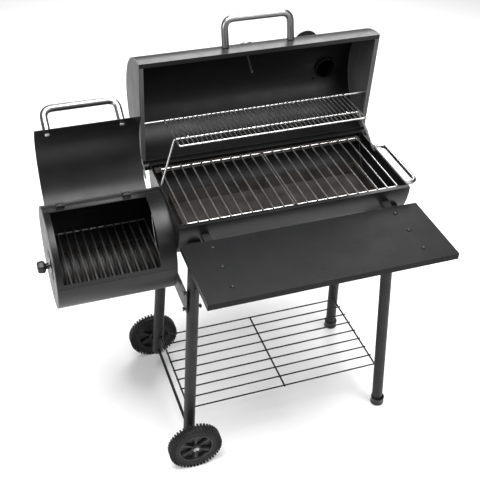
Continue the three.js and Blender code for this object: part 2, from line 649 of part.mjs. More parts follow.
function legBrace(sx) {
  const [z0, z1] = BRACE_Z;
  const [x] = legPoint(sx, 1, (z0 + z1) / 2);
  const face = sx < 0 ? x - LEG_R - 2.8 : x + LEG_R + 2.8;
  const [p0, p1] = sx < 0 ? [face - 2.5, face] : [face, face + 2.5];
  const yEnd = legPoint(1, 1, (z0 + z1) / 2)[1] + 16;
  let brace = plateX([[-yEnd, z0], [yEnd, z0], [yEnd, z1], [-yEnd, z1]], p0, p1);
  for (const sy of [-1, 1]) {
    BRACE_BOLT_Z.forEach((z) => {
      const [bx, by] = legPoint(sx, sy, z);
      const outer = bx + sx * (LEG_R + 8);
      const inner = bx - sx * (LEG_R + 9);
      brace = union(brace, rod([outer, by, z], [inner, by, z], BRACE_BOLT_R, 8));
      brace = union(brace, rod([outer, by, z], [outer + sx * 4, by, z], 7, 6));
      brace = union(brace, rod([inner + sx * 1, by, z], [inner + sx * 6, by, z], 7, 6));
    });
  }
  return brace;
}

// Wheels
function axle() {
  const x = legPoint(-1, 1, WHEEL_R)[0];
  const end = WHEEL_Y + TYRE_WIDTH / 2 + 12;
  const hubFace = WHEEL_Y + TYRE_WIDTH / 2 + 1;
  const backFace = WHEEL_Y - TYRE_WIDTH / 2 - 1;
  let bar = rod([x, -end, WHEEL_R], [x, end, WHEEL_R], AXLE_R, 16);
  for (const side of [-1, 1]) {
    const collar = rod([x, side * (backFace - 3), WHEEL_R], [x, side * backFace, WHEEL_R], 2 * AXLE_R, 16);
    const nut = rod([x, side * hubFace, WHEEL_R], [x, side * (hubFace + 8), WHEEL_R], 1.6 * AXLE_R, 6);
    bar = union(bar, collar, nut);
  }
  return bar;
}

function ringY(x, y0, y1, z, inner, outer, sides) {
  return cut(rod([x, y0, z], [x, y1, z], outer, sides), rod([x, y0 - 1, z], [x, y1 + 1, z], inner, sides));
}

const RIM_R = 60;
const SPOKES = 6;
const WEB_THICK = 3;
function wheelHub(side) {
  const x = legPoint(-1, 1, WHEEL_R)[0];
  const y = side * WHEEL_Y;
  const half = TYRE_WIDTH / 2;
  let hub = union(ringY(x, y - half + 2, y + half - 2, WHEEL_R, RIM_R - 7, RIM_R, 30), rod([x, y - half, WHEEL_R], [x, y + half, WHEEL_R], 17, 24));
  for (let i = 0; i < SPOKES; i += 1) {
    const a = (2 * Math.PI * (i + 0.5)) / SPOKES;
    const web = new THREE.BoxGeometry(RIM_R - 18, 14, 15);
    web.translate(RIM_R / 2 + 6, 0, 0);
    web.rotateY(a);
    web.translate(x, y, WHEEL_R);
    hub = union(hub, solid(web));
  }
  hub = union(hub, ringY(x, y - WEB_THICK / 2, y + WEB_THICK / 2, WHEEL_R, 15, RIM_R - 5, 30));
  return cut(hub, rod([x, y - 40, WHEEL_R], [x, y + 40, WHEEL_R], AXLE_R + 0.3, 24));
}

function tyre(side) {
  const x = legPoint(-1, 1, WHEEL_R)[0];
  const h = TYRE_WIDTH / 2;
  const inner = RIM_R + GAP;
  const profile = [[inner, -h + 3], [inner + 7, -h], [WHEEL_R - 8, -h], [WHEEL_R, -h + 7], [WHEEL_R, h - 7], [WHEEL_R - 8, h], [inner + 7, h], [inner, h - 3], [inner, -h + 3]];
  return turned(profile, [x, side * WHEEL_Y, WHEEL_R], [0, 1, 0], 30);
}

// Bottom rack
const RACK_WIRES = 9;
function bottomRack() {
  const [hx, hy] = RACK_HALF;
  let rack = rod([-hx, -hy - 2, RACK_Z], [-hx, hy + 2, RACK_Z], 3, 6);
  rack = union(rack, rod([0, -hy - 2, RACK_Z], [0, hy + 2, RACK_Z], 3, 6));
  rack = union(rack, rod([hx, -hy - 2, RACK_Z], [hx, hy + 2, RACK_Z], 3, 6));
  for (let i = 0; i < RACK_WIRES; i += 1) {
    const y = -hy + (2 * hy * i) / (RACK_WIRES - 1);
    rack = union(rack, rod([-hx - 5, y, RACK_Z + 4.2], [hx + 5, y, RACK_Z + 4.2], 2.5, 6));
  }
  return rack;
}

// Front table
function tableTop() {
  const [y0, y1] = TABLE_Y;
  const top = box(-TABLE_HALF, TABLE_HALF, y0, y1, TABLE_Z - SHEET, TABLE_Z);
  const skirtZ = TABLE_Z - TABLE_FOLD;
  const skirt = cut(
    box(-TABLE_HALF, TABLE_HALF, y0, y1, skirtZ, TABLE_Z - 1),
    box(SHEET - TABLE_HALF, TABLE_HALF - SHEET, y0 + SHEET, y1 - SHEET, skirtZ - 1, TABLE_Z + 1),
  );
  let table = union(top, skirt);
  for (const sx of [-1, 1]) {
    TABLE_BOLT_Y.forEach((y) => {
      table = cut(table, rod([sx * TABLE_BOLT_X, y, TABLE_Z - 5], [sx * TABLE_BOLT_X, y, TABLE_Z + 5], 3 + GAP, 12));
    });
    table = cut(table, box(sx * TABLE_BOLT_X - 14, sx * TABLE_BOLT_X + 14, y1 - 6, y1 + 6, skirtZ - 2, TABLE_Z - SHEET - 0.01));
  }
  return table;
}

const ARM_HALF = 12;
const STRUT_AT = [-400, 852];    // y, z of the strut's upper bend
const STRUT_R = 3.5;
function tableArm(sx) {
  const x = sx * TABLE_BOLT_X;
  const top = TABLE_Z - SHEET - GAP;
  const arm = cut(
    box(x - ARM_HALF, x + ARM_HALF, -456, -150, top - 16, top),
    box(x - ARM_HALF + SHEET, x + ARM_HALF - SHEET, -460, -140, top - 20, top - SHEET),
    plateX(disc([0, RIM_Z], BARREL_R + GAP + 0.3, 48), x - 30, x + 30),
  );
  let whole = arm;
  TABLE_BOLT_Y.forEach((y) => {
    const head = turned([[0, 0], [7, 0], [6.4, 2.2], [4, 3.6], [0, 4.2]], [x, y, TABLE_Z + GAP], [0, 0, 1], 12);
    whole = union(whole, rod([x, y, top - 3], [x, y, TABLE_Z + 1], 3, 12), head);
  });
  return whole;
}

function tableStrut(sx) {
  const [footX, footY, footZ] = legPoint(sx, -1, 700);
  const x = sx * (TABLE_BOLT_X + ARM_HALF + 3);
  const near = footY - LEG_R - 6;
  const [topY, topZ] = STRUT_AT;
  const corners = [[footX, near, footZ - 26], [footX, near, footZ], [x, topY, topZ], [x, topY - 22, topZ]];
  return bentBar(corners, STRUT_R, 6, 8, 3);
}

// Side handle on the barrel's right end
const SIDE_HANDLE_HALF = 114;
const SIDE_HANDLE_REACH = 60;
const SIDE_HANDLE_DROP = 32;
const SIDE_HANDLE_R = 7.5;
function bowlHandle() {
  const x = BOWL_HALF + GAP;
  const out = x + SIDE_HANDLE_REACH;
  const z = RIM_Z - SIDE_HANDLE_DROP;
  const half = SIDE_HANDLE_HALF;
  return bentBar([[x, -half, z], [out, -half, z], [out, half, z], [x, half, z]], SIDE_HANDLE_R, 26, 12, 6);
}

// ---- build every piece ----
addPart('bowl_shell', bowlShell(), MAT.black_shell);
addPart('bowl_end_left', bowlEnd(-1), MAT.black_shell);
addPart('bowl_end_right', bowlEnd(1), MAT.black_shell);
addPart('bowl_handle', bowlHandle(), MAT.chrome);
addPart('grate_ledge_front', grateLedge(-1), MAT.fire_steel);
addPart('grate_ledge_back', grateLedge(1), MAT.fire_steel);
addPart('cooking_grate_left', wireGrate(-GRATE_HALF[0], -2, GRATE_HALF[1], GRATE_Z, GRATE_PITCH, 2.5, 3), MAT.bright_steel);
addPart('cooking_grate_right', wireGrate(2, GRATE_HALF[0], GRATE_HALF[1], GRATE_Z, GRATE_PITCH, 2.5, 3), MAT.bright_steel);
addPart('charcoal_pan', charcoalPan(), MAT.fire_steel);

addPart('lid_shell', lidShell(), MAT.black_shell, lidOpen);
addPart('lid_end_left', lidEnd(-1), MAT.grey_plate, lidOpen);
addPart('lid_end_right', lidEnd(1), MAT.grey_plate, lidOpen);
addPart('lid_handle', lidHandle(), MAT.bright_steel, lidOpen);
addPart('lid_pivot_bolt_left', lidPivotBolt(-1), MAT.black_shell);
addPart('lid_pivot_bolt_right', lidPivotBolt(1), MAT.black_shell);
addPart('thermometer', thermometer(), MAT.bright_steel, lidOpen);
addPart('chimney_pipe', chimneyPipe(), MAT.black_shell, lidOpen);
addPart('chimney_cap', chimneyCap(), MAT.black_shell, lidOpen);

addPart('warming_rack', warmingRack(), MAT.bright_steel);
addPart('warming_rack_bail', warmingBail(), MAT.bright_steel);

addPart('firebox_lower_shell', fireboxLower(), MAT.black_shell);
addPart('firebox_upper_shell', fireboxUpper(), MAT.black_shell);
addPart('firebox_end_left', fireboxEnd(-1), MAT.grey_plate);
addPart('firebox_end_right', fireboxEnd(1), MAT.black_shell);
addPart('firebox_lid', fireboxLid(), MAT.black_shell, boxLidOpen);
addPart('firebox_handle', fireboxHandle(), MAT.bright_steel, boxLidOpen);
BOX_HINGES.forEach((x, i) => {
  addPart(`firebox_hinge_fixed_${i + 1}`, hingeLeaf(x, true), MAT.leg_paint);
  addPart(`firebox_hinge_moving_${i + 1}`, hingeLeaf(x, false), MAT.leg_paint, boxLidOpen);
});
addPart('firebox_grate', wireGrate(...BOX_GRATE_X, BOX_GRATE_HALF, BOX_GRATE_Z, BOX_GRATE_PITCH, 2.5, 3), MAT.bright_steel);
addPart('firebox_coal_grate', wireGrate(...COAL_GRATE_X, COAL_GRATE_HALF, COAL_GRATE_Z, BOX_GRATE_PITCH, 3.5, 4), MAT.fire_steel);
addPart('air_damper', airDamper(), MAT.black_shell);
addPart('air_knob', airKnob(), MAT.black_plastic);

for (const [sx, xName] of [[-1, 'left'], [1, 'right']]) {
  for (const [sy, yName] of [[-1, 'front'], [1, 'back']]) {
    addPart(`leg_${yName}_${xName}`, leg(sx, sy), MAT.leg_paint);
  }
  addPart(`leg_brace_${xName}`, legBrace(sx), MAT.leg_paint);
  addPart(`table_arm_${xName}`, tableArm(sx), MAT.leg_paint);
  addPart(`table_strut_${xName}`, tableStrut(sx), MAT.leg_paint);
}
addPart('foot_cap_front', footCap(-1), MAT.black_plastic);
addPart('foot_cap_back', footCap(1), MAT.black_plastic);
addPart('axle', axle(), MAT.black_wire);
for (const [side, name] of [[-1, 'front'], [1, 'back']]) {
  addPart(`wheel_hub_${name}`, wheelHub(side), MAT.wheel_plastic);
  addPart(`tyre_${name}`, tyre(side), MAT.black_plastic);
}
addPart('bottom_rack', bottomRack(), MAT.black_wire);
addPart('table_top', tableTop(), MAT.table_paint);

// The origin is on the floor, under the middle of the whole object's box.
const bounds = new THREE.Box3().setFromObject(group);
const middle = bounds.getCenter(new THREE.Vector3());
group.position.set(-middle.x, -middle.y, 0);

export default group;
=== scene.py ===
"""Looks of the offset smoker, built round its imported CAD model. Metres, +Z up."""
import json
import math

import bmesh
import bpy
from mathutils import Matrix, Vector


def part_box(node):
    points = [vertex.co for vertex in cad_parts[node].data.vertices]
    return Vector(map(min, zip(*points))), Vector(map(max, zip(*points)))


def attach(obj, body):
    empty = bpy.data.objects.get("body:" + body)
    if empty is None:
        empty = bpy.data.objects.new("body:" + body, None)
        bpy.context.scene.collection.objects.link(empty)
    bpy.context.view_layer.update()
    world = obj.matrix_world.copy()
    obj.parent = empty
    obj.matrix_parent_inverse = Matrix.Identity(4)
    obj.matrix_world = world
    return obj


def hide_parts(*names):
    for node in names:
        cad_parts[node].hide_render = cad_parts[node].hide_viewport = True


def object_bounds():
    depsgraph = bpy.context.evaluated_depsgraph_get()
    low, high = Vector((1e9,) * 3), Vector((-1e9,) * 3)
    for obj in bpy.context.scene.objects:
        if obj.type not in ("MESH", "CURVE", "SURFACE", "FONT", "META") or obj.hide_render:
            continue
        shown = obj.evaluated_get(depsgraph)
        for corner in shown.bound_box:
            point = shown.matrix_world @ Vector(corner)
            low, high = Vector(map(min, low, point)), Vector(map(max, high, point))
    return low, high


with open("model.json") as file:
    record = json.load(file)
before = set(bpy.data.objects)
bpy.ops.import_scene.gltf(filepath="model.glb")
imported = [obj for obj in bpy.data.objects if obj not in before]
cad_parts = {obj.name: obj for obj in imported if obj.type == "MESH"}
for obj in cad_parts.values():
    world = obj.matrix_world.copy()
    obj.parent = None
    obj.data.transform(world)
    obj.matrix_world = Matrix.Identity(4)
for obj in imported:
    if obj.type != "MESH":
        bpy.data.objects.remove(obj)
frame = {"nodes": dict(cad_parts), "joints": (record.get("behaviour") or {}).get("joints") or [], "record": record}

CAD_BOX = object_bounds()
MM = 0.001

# ---- driving dimensions, in metres and degrees ----
GAP = 0.4 * MM                   # clearance that touching pieces keep
WELD = 1e-6                      # points closer than this are one point
LID_LIFT = 3 * MM                # the shut lid's rim above the bowl's
UNDER_SHEET = 2.1 * MM           # from the barrel's outside to just under its sheet
BOX_LID_UNDER = 0.9 * MM         # from the firebox's roll to just under its lid's sheet
BOX_LID_TOP = 3.4 * MM           # and to just over it

GRATE_PITCH = 33 * MM
BOX_GRATE_PITCH = 26 * MM
GRATE_WIRE_R, GRATE_BAR_R = 2.5 * MM, 3 * MM
COAL_WIRE_R, COAL_BAR_R = 3.5 * MM, 4 * MM
GRATE_BAR_INSET = 4 * MM         # a grate's end bars from the ends of its wires
RACK_WIRE_R, RACK_BAR_R = 2.6 * MM, 3.1 * MM
RACK_WIRES = 9
RACK_BAR_INSET = 5 * MM
RACK_WIRE_INSET = 2 * MM

WARM_HALF = 300 * MM             # half the length of the warming rack
WARM_PITCH = 15 * MM
WARM_ROD_R, WARM_WIRE_R, WARM_END_R = 3 * MM, 1.4 * MM, 2.2 * MM
WARM_OVERHANG = 2 * MM           # the wires run this far past the rods
HOOK_INSET = 40 * MM
HOOK_R, HOOK_WIRE_R = 5.6 * MM, 1.2 * MM
BAIL_R, BAIL_BEND = 3 * MM, 6 * MM
BAIL_CLEAR = 2 * MM              # the bail's arms stand this far outside the rack
BAIL_FOOT = 7.6 * MM             # length of the turned-out foot of an arm

HANDLE_R, HANDLE_BEND = 11 * MM, 30 * MM
LID_HANDLE_AT, LID_HANDLE_REACH = 164, 84 * MM
BOX_HANDLE_AT, BOX_HANDLE_REACH = 168, 78 * MM
SIDE_HANDLE_BEND = 26 * MM

PIPE_R, PIPE_WALL, PIPE_BEAD = 35 * MM, 2 * MM, 1.4 * MM
PIPE_LENGTH = 170 * MM
CAP_OVER_PIPE = 25 * MM          # the cap's middle above the pipe's mouth
CAP_HALF_HEIGHT = 13 * MM
STUD_R, STUD_REACH = 3 * MM, 52 * MM
SADDLE_HALF, SADDLE_THICK = 48 * MM, 2 * MM
SADDLE_BOLT_X, SADDLE_BOLT_TURN = 40 * MM, 11

THERMO_AT = 121                  # round the lid's roll
CASE_R, CASE_DEPTH = 28 * MM, 16 * MM
DRAWN_CASE_R = 34 * MM           # the dial is drawn at this radius, and scaled to CASE_R
STEM_R, STEM_REACH = 3 * MM, 80 * MM
DIAL_START, DIAL_SWEEP = math.radians(225), math.radians(270)
DIAL_TICKS, DIAL_NUMBERS = 30, 7

LUGS, SIDE_RIBS, SPOKES = 46, 64, 6
TYRE_INNER_R, TREAD_DEPTH = 60.4 * MM, 3.6 * MM
RIB_AT = 75 * MM
HUB_RIM_R, HUB_INSIDE_R = 60 * MM, 53 * MM
HUB_BORE_R = 5.3 * MM
WEB_HALF = 1.5 * MM
AXLE_R = 5 * MM

FLOOR_DROP = 0.4 * MM            # keeps the floor from showing through the feet
CAMERA_AT = Vector((-0.7165, -2.1387, 2.3975))
CAMERA_YAW, CAMERA_PITCH, CAMERA_ROLL = -0.350, 0.654, 0.033
CAMERA_LENS = 65.7
WORLD_LIGHT = 0.15
LIGHTS_AIM = (0, 0, 0.8)
LIGHTS = (                       # name, place, (width, height), watts
    ("key_left", (-3.4, -1.2, 2.4), (1.6, 1.8), 70),
    ("overhead", (0.1, -0.7, 4.0), (3.4, 2.2), 320),
    ("front_fill", (1.8, -3.4, 2.6), (2.0, 1.4), 40),
    ("back_rim", (1.2, 3.0, 3.0), (2.4, 1.6), 110),
)

# ---- places read from the frame ----
JOINTS = {joint["name"]: joint for joint in frame["joints"]}
SLOT_OF = {part["node"]: part["material_slot"] for part in frame["record"]["subparts"]}


def middle(node):
    low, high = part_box(node)
    return (low + high) / 2


def opened(joint_name):
    """The move that takes a shut lid's point to where it is at rest, with the lid open."""
    joint = JOINTS[joint_name]
    pivot = Vector(joint["pos_m"])
    angle = -math.radians(joint["range_deg"][1])
    return Matrix.Translation(pivot) @ Matrix.Rotation(angle, 4, "X") @ Matrix.Translation(-pivot)


BOWL_LOW, BOWL_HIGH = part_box("bowl_shell")
BARREL_R = (BOWL_HIGH.y - BOWL_LOW.y) / 2
BARREL_X = (BOWL_LOW.x + BOWL_HIGH.x) / 2
BARREL_Y = (BOWL_LOW.y + BOWL_HIGH.y) / 2
RIM_Z = BOWL_HIGH.z
LID_RIM_Z = RIM_Z + LID_LIFT
LID_TURN = opened("lid_hinge")

BOX_END_LOW, BOX_END_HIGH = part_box("firebox_end_left")
BOX_R = (BOX_END_HIGH.z - BOX_END_LOW.z) / 2
BOX_Y = (BOX_END_LOW.y + BOX_END_HIGH.y) / 2
BOX_Z = (BOX_END_LOW.z + BOX_END_HIGH.z) / 2
BOX_TURN = opened("firebox_lid_hinge")


def on_lid(degrees, radius, x):
    """A point round the lid's roll, 0 at the back rim and 180 at the front one, as the lid stands open."""
    a = math.radians(degrees)
    shut = Vector((x, BARREL_Y + radius * math.cos(a), LID_RIM_Z + radius * math.sin(a)))
    return LID_TURN @ shut


def on_box_lid(degrees, radius, x):
    """The same round the firebox's lid."""
    a = math.radians(degrees)
    return BOX_TURN @ Vector((x, BOX_Y + radius * math.cos(a), BOX_Z + radius * math.sin(a)))


# ---- material helpers ----
def start_material(name):
    material = bpy.data.materials.new(name)
    material.use_nodes = True
    tree = material.node_tree
    return material, tree, tree.nodes["Principled BSDF"]


def add_node(tree, kind, **settings):
    node = tree.nodes.new(kind)
    for key, value in settings.items():
        if key in node.inputs:
            node.inputs[key].default_value = value
        else:
            setattr(node, key, value)
    return node


def stretched_coords(tree, scale, use_uv=False):
    coords = add_node(tree, "ShaderNodeTexCoord")
    mapping = add_node(tree, "ShaderNodeMapping", Scale=scale)
    tree.links.new(coords.outputs["UV" if use_uv else "Object"], mapping.inputs["Vector"])
    return mapping.outputs["Vector"]


def noise(tree, vector, scale, detail=4.0, roughness=0.55):
    node = add_node(tree, "ShaderNodeTexNoise", Scale=scale, Detail=detail, Roughness=roughness)
    tree.links.new(vector, node.inputs["Vector"])
    return node.outputs["Fac"]


def ramp(tree, value, stops):
    """A colour ramp; a stop is (place, grey) or (place, (r, g, b))."""
    node = add_node(tree, "ShaderNodeValToRGB")
    elements = node.color_ramp.elements
    while len(elements) < len(stops):
        elements.new(0.5)
    for element, (place, colour) in zip(elements, stops):
        rgb = colour if isinstance(colour, tuple) else (colour,) * 3
        element.position = place
        element.color = (*rgb, 1)
    tree.links.new(value, node.inputs["Fac"])
    return node.outputs["Color"]


def spread(tree, value, low, high):
    """Maps the middle of a noise's range to low..high."""
    node = add_node(tree, "ShaderNodeMapRange")
    node.inputs["From Min"].default_value = 0.3
    node.inputs["From Max"].default_value = 0.7
    node.inputs["To Min"].default_value = low
    node.inputs["To Max"].default_value = high
    tree.links.new(value, node.inputs["Value"])
    return node.outputs["Result"]


def blend_colours(tree, factor, first, second):
    node = add_node(tree, "ShaderNodeMix", data_type="RGBA")
    tree.links.new(factor, node.inputs["Factor"])
    for socket, colour in (("A", first), ("B", second)):
        target = [s for s in node.inputs if s.name == socket and s.type == "RGBA"][0]
        if isinstance(colour, bpy.types.NodeSocket):
            tree.links.new(colour, target)
        else:
            target.default_value = (*colour, 1)
    return [s for s in node.outputs if s.type == "RGBA"][0]


def bump(tree, shader, height, strength, distance, below=None):
    node = add_node(tree, "ShaderNodeBump", Strength=strength, Distance=distance)
    tree.links.new(height, node.inputs["Height"])
    if below:
        tree.links.new(below, node.inputs["Normal"])
    tree.links.new(node.outputs["Normal"], shader.inputs["Normal"])
    return node.outputs["Normal"]


def edge_highlight_mask(tree, radius):
    """White where a sharp edge is within radius; this places the painted edge highlight."""
    rounded = add_node(tree, "ShaderNodeBevel", samples=4, Radius=radius)
    geometry = add_node(tree, "ShaderNodeNewGeometry")
    dot = add_node(tree, "ShaderNodeVectorMath", operation="DOT_PRODUCT")
    tree.links.new(rounded.outputs["Normal"], dot.inputs[0])
    tree.links.new(geometry.outputs["Normal"], dot.inputs[1])
    node = add_node(tree, "ShaderNodeMapRange")
    node.inputs["From Min"].default_value = 0.99
    node.inputs["From Max"].default_value = 0.8
    tree.links.new(dot.outputs["Value"], node.inputs["Value"])
    return node.outputs["Result"]


def painted(name, dark, light, gloss, mottle, grain, grain_height, edge=None, streaks=None, shine=0.3,
            metallic=0.0):
    """Painted or coated sheet: two close tones, uneven gloss, a fine grain and a painted highlight along sharp
    edges.
    """
    material, tree, shader = start_material(name)
    shader.inputs["Specular IOR Level"].default_value = shine
    shader.inputs["Metallic"].default_value = metallic
    here = stretched_coords(tree, (1, 1, 1))
    colour = ramp(tree, noise(tree, here, mottle), [(0.3, dark), (0.7, light)])
    if streaks:
        lines = noise(tree, stretched_coords(tree, streaks), 1.0, 3.0)
        deep = ramp(tree, lines, [(0.35, tuple(0.8 * c for c in dark)), (0.65, light)])
        colour = blend_colours(tree, spread(tree, noise(tree, here, 9.0), 0.25, 0.6), colour, deep)
    # edge is the colour of a painted highlight along sharp edges, the light a rolled rim catches, broken up by noise
    if edge:
        mask = edge_highlight_mask(tree, 0.9 * MM)
        painted_edge_highlight = add_node(tree, "ShaderNodeMath", operation="MULTIPLY")
        tree.links.new(mask, painted_edge_highlight.inputs[0])
        tree.links.new(spread(tree, noise(tree, here, 60.0), 0.2, 0.8), painted_edge_highlight.inputs[1])
        colour = blend_colours(tree, painted_edge_highlight.outputs["Value"], colour, edge)
    tree.links.new(colour, shader.inputs["Base Color"])
    smudges = noise(tree, here, 14.0, 6.0, 0.65)
    tree.links.new(spread(tree, smudges, *gloss), shader.inputs["Roughness"])
    bump(tree, shader, noise(tree, here, grain, 2.0), 0.5, grain_height)
    return material


def bare_metal(name, dark, light, gloss, stretch, use_uv, scratch_height):
    """Bright metal with fine lines along its length."""
    material, tree, shader = start_material(name)
    along = stretched_coords(tree, stretch, use_uv)
    lines = noise(tree, along, 1.0, 5.0, 0.7)
    tree.links.new(ramp(tree, lines, [(0.3, dark), (0.7, light)]), shader.inputs["Base Color"])
    shader.inputs["Metallic"].default_value = 1.0
    cloud = noise(tree, stretched_coords(tree, (1, 1, 1)), 30.0, 4.0)
    both = add_node(tree, "ShaderNodeMath", operation="ADD", use_clamp=True)
    half_lines = spread(tree, lines, 0.0, (gloss[1] - gloss[0]) / 2)
    half_cloud = spread(tree, cloud, gloss[0], (gloss[0] + gloss[1]) / 2)
    tree.links.new(half_lines, both.inputs[0])
    tree.links.new(half_cloud, both.inputs[1])
    tree.links.new(both.outputs["Value"], shader.inputs["Roughness"])
    bump(tree, shader, lines, 0.3, scratch_height)
    return material


# ---- the materials; an edge colour is a painted highlight along sharp edges ----
def grey(level):
    return (level, level, level)


def black_shell_paint():
    return painted(
        "satin_black", dark=grey(0.0045), light=(0.0085, 0.0085, 0.009), gloss=(0.3, 0.42),
        mottle=5.0, grain=900.0, grain_height=0.05 * MM, edge=grey(0.05), shine=0.24)


def grey_plate_paint():
    return painted(
        "satin_grey_plate", dark=grey(0.05), light=(0.085, 0.085, 0.086), gloss=(0.4, 0.54),
        mottle=7.0, grain=700.0, grain_height=0.05 * MM, edge=grey(0.16), streaks=(150.0, 150.0, 4.0))


def table_coat():
    return painted(
        "table_texture_coat", dark=(0.005, 0.0051, 0.0054), light=(0.0105, 0.0107, 0.0112),
        gloss=(0.42, 0.56), mottle=330.0, grain=1300.0, grain_height=0.16 * MM, edge=(0.06, 0.06, 0.063), shine=0.12)


def leg_coat():
    return painted(
        "leg_powder_coat", dark=grey(0.003), light=(0.019, 0.019, 0.0195), gloss=(0.36, 0.6),
        mottle=260.0, grain=620.0, grain_height=0.14 * MM, edge=grey(0.06), shine=0.25)


def wire_coat():
    return painted(
        "rack_black_coat", dark=grey(0.004), light=(0.009, 0.009, 0.0095), gloss=(0.3, 0.45),
        mottle=90.0, grain=800.0, grain_height=0.03 * MM, shine=0.15)


def scorched_steel():
    return painted(
        "scorched_steel", dark=(0.012, 0.011, 0.011), light=(0.04, 0.034, 0.03), gloss=(0.55, 0.85),
        mottle=22.0, grain=320.0, grain_height=0.3 * MM, metallic=0.35)


def moulded_plastic():
    return painted(
        "moulded_black_plastic", dark=grey(0.008), light=(0.014, 0.014, 0.015), gloss=(0.32, 0.45),
        mottle=40.0, grain=1500.0, grain_height=0.04 * MM)


def wheel_plastic():
    return painted(
        "wheel_plastic", dark=grey(0.004), light=(0.012, 0.012, 0.0125), gloss=(0.42, 0.62),
        mottle=55.0, grain=900.0, grain_height=0.1 * MM, edge=grey(0.04), shine=0.25)


def drawn_wire():
    return bare_metal(
        "bright_wire", dark=(0.46, 0.455, 0.45), light=(0.6, 0.595, 0.59), gloss=(0.3, 0.44),
        stretch=(25, 25, 25), use_uv=False, scratch_height=0.004 * MM)


def brushed_tube():
    return bare_metal(
        "brushed_tube", dark=grey(0.2), light=(0.36, 0.36, 0.365), gloss=(0.24, 0.4),
        stretch=(6, 420, 1), use_uv=True, scratch_height=0.02 * MM)


def polished_chrome():
    return bare_metal(
        "polished_chrome", dark=(0.26, 0.26, 0.265), light=(0.42, 0.42, 0.425), gloss=(0.2, 0.32),
        stretch=(6, 300, 1), use_uv=True, scratch_height=0.01 * MM)


def dial_enamel():
    return painted(
        "dial_enamel", dark=(0.62, 0.62, 0.6), light=(0.72, 0.72, 0.7), gloss=(0.3, 0.4),
        mottle=60.0, grain=900.0, grain_height=0.01 * MM)


def dial_ink():
    return painted(
        "dial_ink", dark=grey(0.01), light=grey(0.02), gloss=(0.5, 0.6),
        mottle=200.0, grain=900.0, grain_height=0.01 * MM)


def dial_needle_paint():
    return painted(
        "needle_red", dark=(0.45, 0.02, 0.015), light=(0.6, 0.03, 0.02), gloss=(0.3, 0.4),
        mottle=100.0, grain=900.0, grain_height=0.01 * MM)


def dial_glass():
    material, tree, shader = start_material("dial_glass")
    shader.inputs["Base Color"].default_value = (0.97, 0.98, 0.98, 1)
    shader.inputs["Transmission Weight"].default_value = 1.0
    shader.inputs["IOR"].default_value = 1.45
    smears = noise(tree, stretched_coords(tree, (1, 1, 1)), 40.0)
    tree.links.new(spread(tree, smears, 0.01, 0.06), shader.inputs["Roughness"])
    return material


PAINT = {
    "black_shell": black_shell_paint(),
    "grey_plate": grey_plate_paint(),
    "table_paint": table_coat(),
    "leg_paint": leg_coat(),
    "bright_steel": drawn_wire(),
    "chrome": polished_chrome(),
    "black_wire": wire_coat(),
    "fire_steel": scorched_steel(),
    "black_plastic": moulded_plastic(),
    "tyre_plastic": wheel_plastic(),
}
BRUSHED = brushed_tube()


# ---- mesh helpers ----
def add_object(name, data):
    thing = bpy.data.objects.new(name, data)
    bpy.context.scene.collection.objects.link(thing)
    return thing


def turns(count):
    """The angles of even steps round a circle."""
    return [2 * math.pi * k / count for k in range(count)]


def bridge(bm, first, second):
    """Faces between two rings with equally many points."""
    for k in range(len(first)):
        n = (k + 1) % len(first)
        bm.faces.new((first[k], first[n], second[n], second[k]))


def weld(bm):
    bmesh.ops.remove_doubles(bm, verts=bm.verts, dist=WELD)
def finish_piece(bm, name, body, slot, material=None, sharp=35, bevel=0.0):
    bmesh.ops.recalc_face_normals(bm, faces=bm.faces)
    mesh = bpy.data.meshes.new(name)
    bm.to_mesh(mesh)
    bm.free()
    mesh.shade_smooth()
    mesh.set_sharp_from_angle(angle=math.radians(sharp))
    piece = add_object(name, mesh)
    mesh.materials.append(material or PAINT[slot])
    if bevel:
        add_bevel(piece, bevel)
    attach(piece, body)
    return piece


def add_bevel(piece, width, segments=2):
    modifier = piece.modifiers.new("rounded_edges", "BEVEL")
    modifier.width = width
    modifier.segments = segments
    modifier.limit_method = "ANGLE"
    modifier.angle_limit = math.radians(35)
    modifier.harden_normals = True


def rounded_path(corners, bend, steps=10):
    """The corners as a path, each inner one turned through an arc that starts bend away from it."""
    path = [Vector(corners[0])]
    for before, here, after in zip(corners, corners[1:], corners[2:]):
        here = Vector(here)
        start = here + (Vector(before) - here).normalized() * bend
        end = here + (Vector(after) - here).normalized() * bend
        for i in range(steps + 1):
            t = i / steps
            path.append(start.lerp(here, t).lerp(here.lerp(end, t), t))
    path.append(Vector(corners[-1]))
    return path


def add_tube(bm, path, radius, sides=12, cap=0.35):
    """A round bar along a path, with softened ends and a UV map: along the bar, then round it."""
    uv = bm.loops.layers.uv.verify()
    path = [Vector(p) for p in path]
    first, last = (path[1] - path[0]).normalized(), (path[-1] - path[-2]).normalized()
    ease = radius * cap
    stations = [(path[0], radius * (1 - cap)), (path[0] + first * ease, radius)]
    stations += [(p, radius) for p in path[1:-1]]
    stations += [(path[-1] - last * ease, radius), (path[-1], radius * (1 - cap))]
    points = [p for p, _ in stations]
    side = first.orthogonal().normalized()
    rings, lengths, run = [], [], 0.0
    for i, (centre, r) in enumerate(stations):
        ahead = points[min(i + 1, len(points) - 1)] - points[max(i - 1, 0)]
        ahead.normalize()
        side = (side - ahead * side.dot(ahead)).normalized()
        up = ahead.cross(side)
        ring = [centre + r * (side * math.cos(a) + up * math.sin(a)) for a in turns(sides)]
        rings.append([bm.verts.new(point) for point in ring])
        run += (centre - points[i - 1]).length if i else 0.0
        lengths.append(run)
    for (ring, u0), (following, u1) in zip(zip(rings, lengths), zip(rings[1:], lengths[1:])):
        for k in range(sides):
            n = (k + 1) % sides
            face = bm.faces.new((ring[k], ring[n], following[n], following[k]))
            corners = ((u0, k), (u0, k + 1), (u1, k + 1), (u1, k))
            for loop, (u, v) in zip(face.loops, corners):
                loop[uv].uv = (u, v / sides * 2 * math.pi * radius)
    bm.faces.new(rings[0][::-1])
    bm.faces.new(rings[-1])


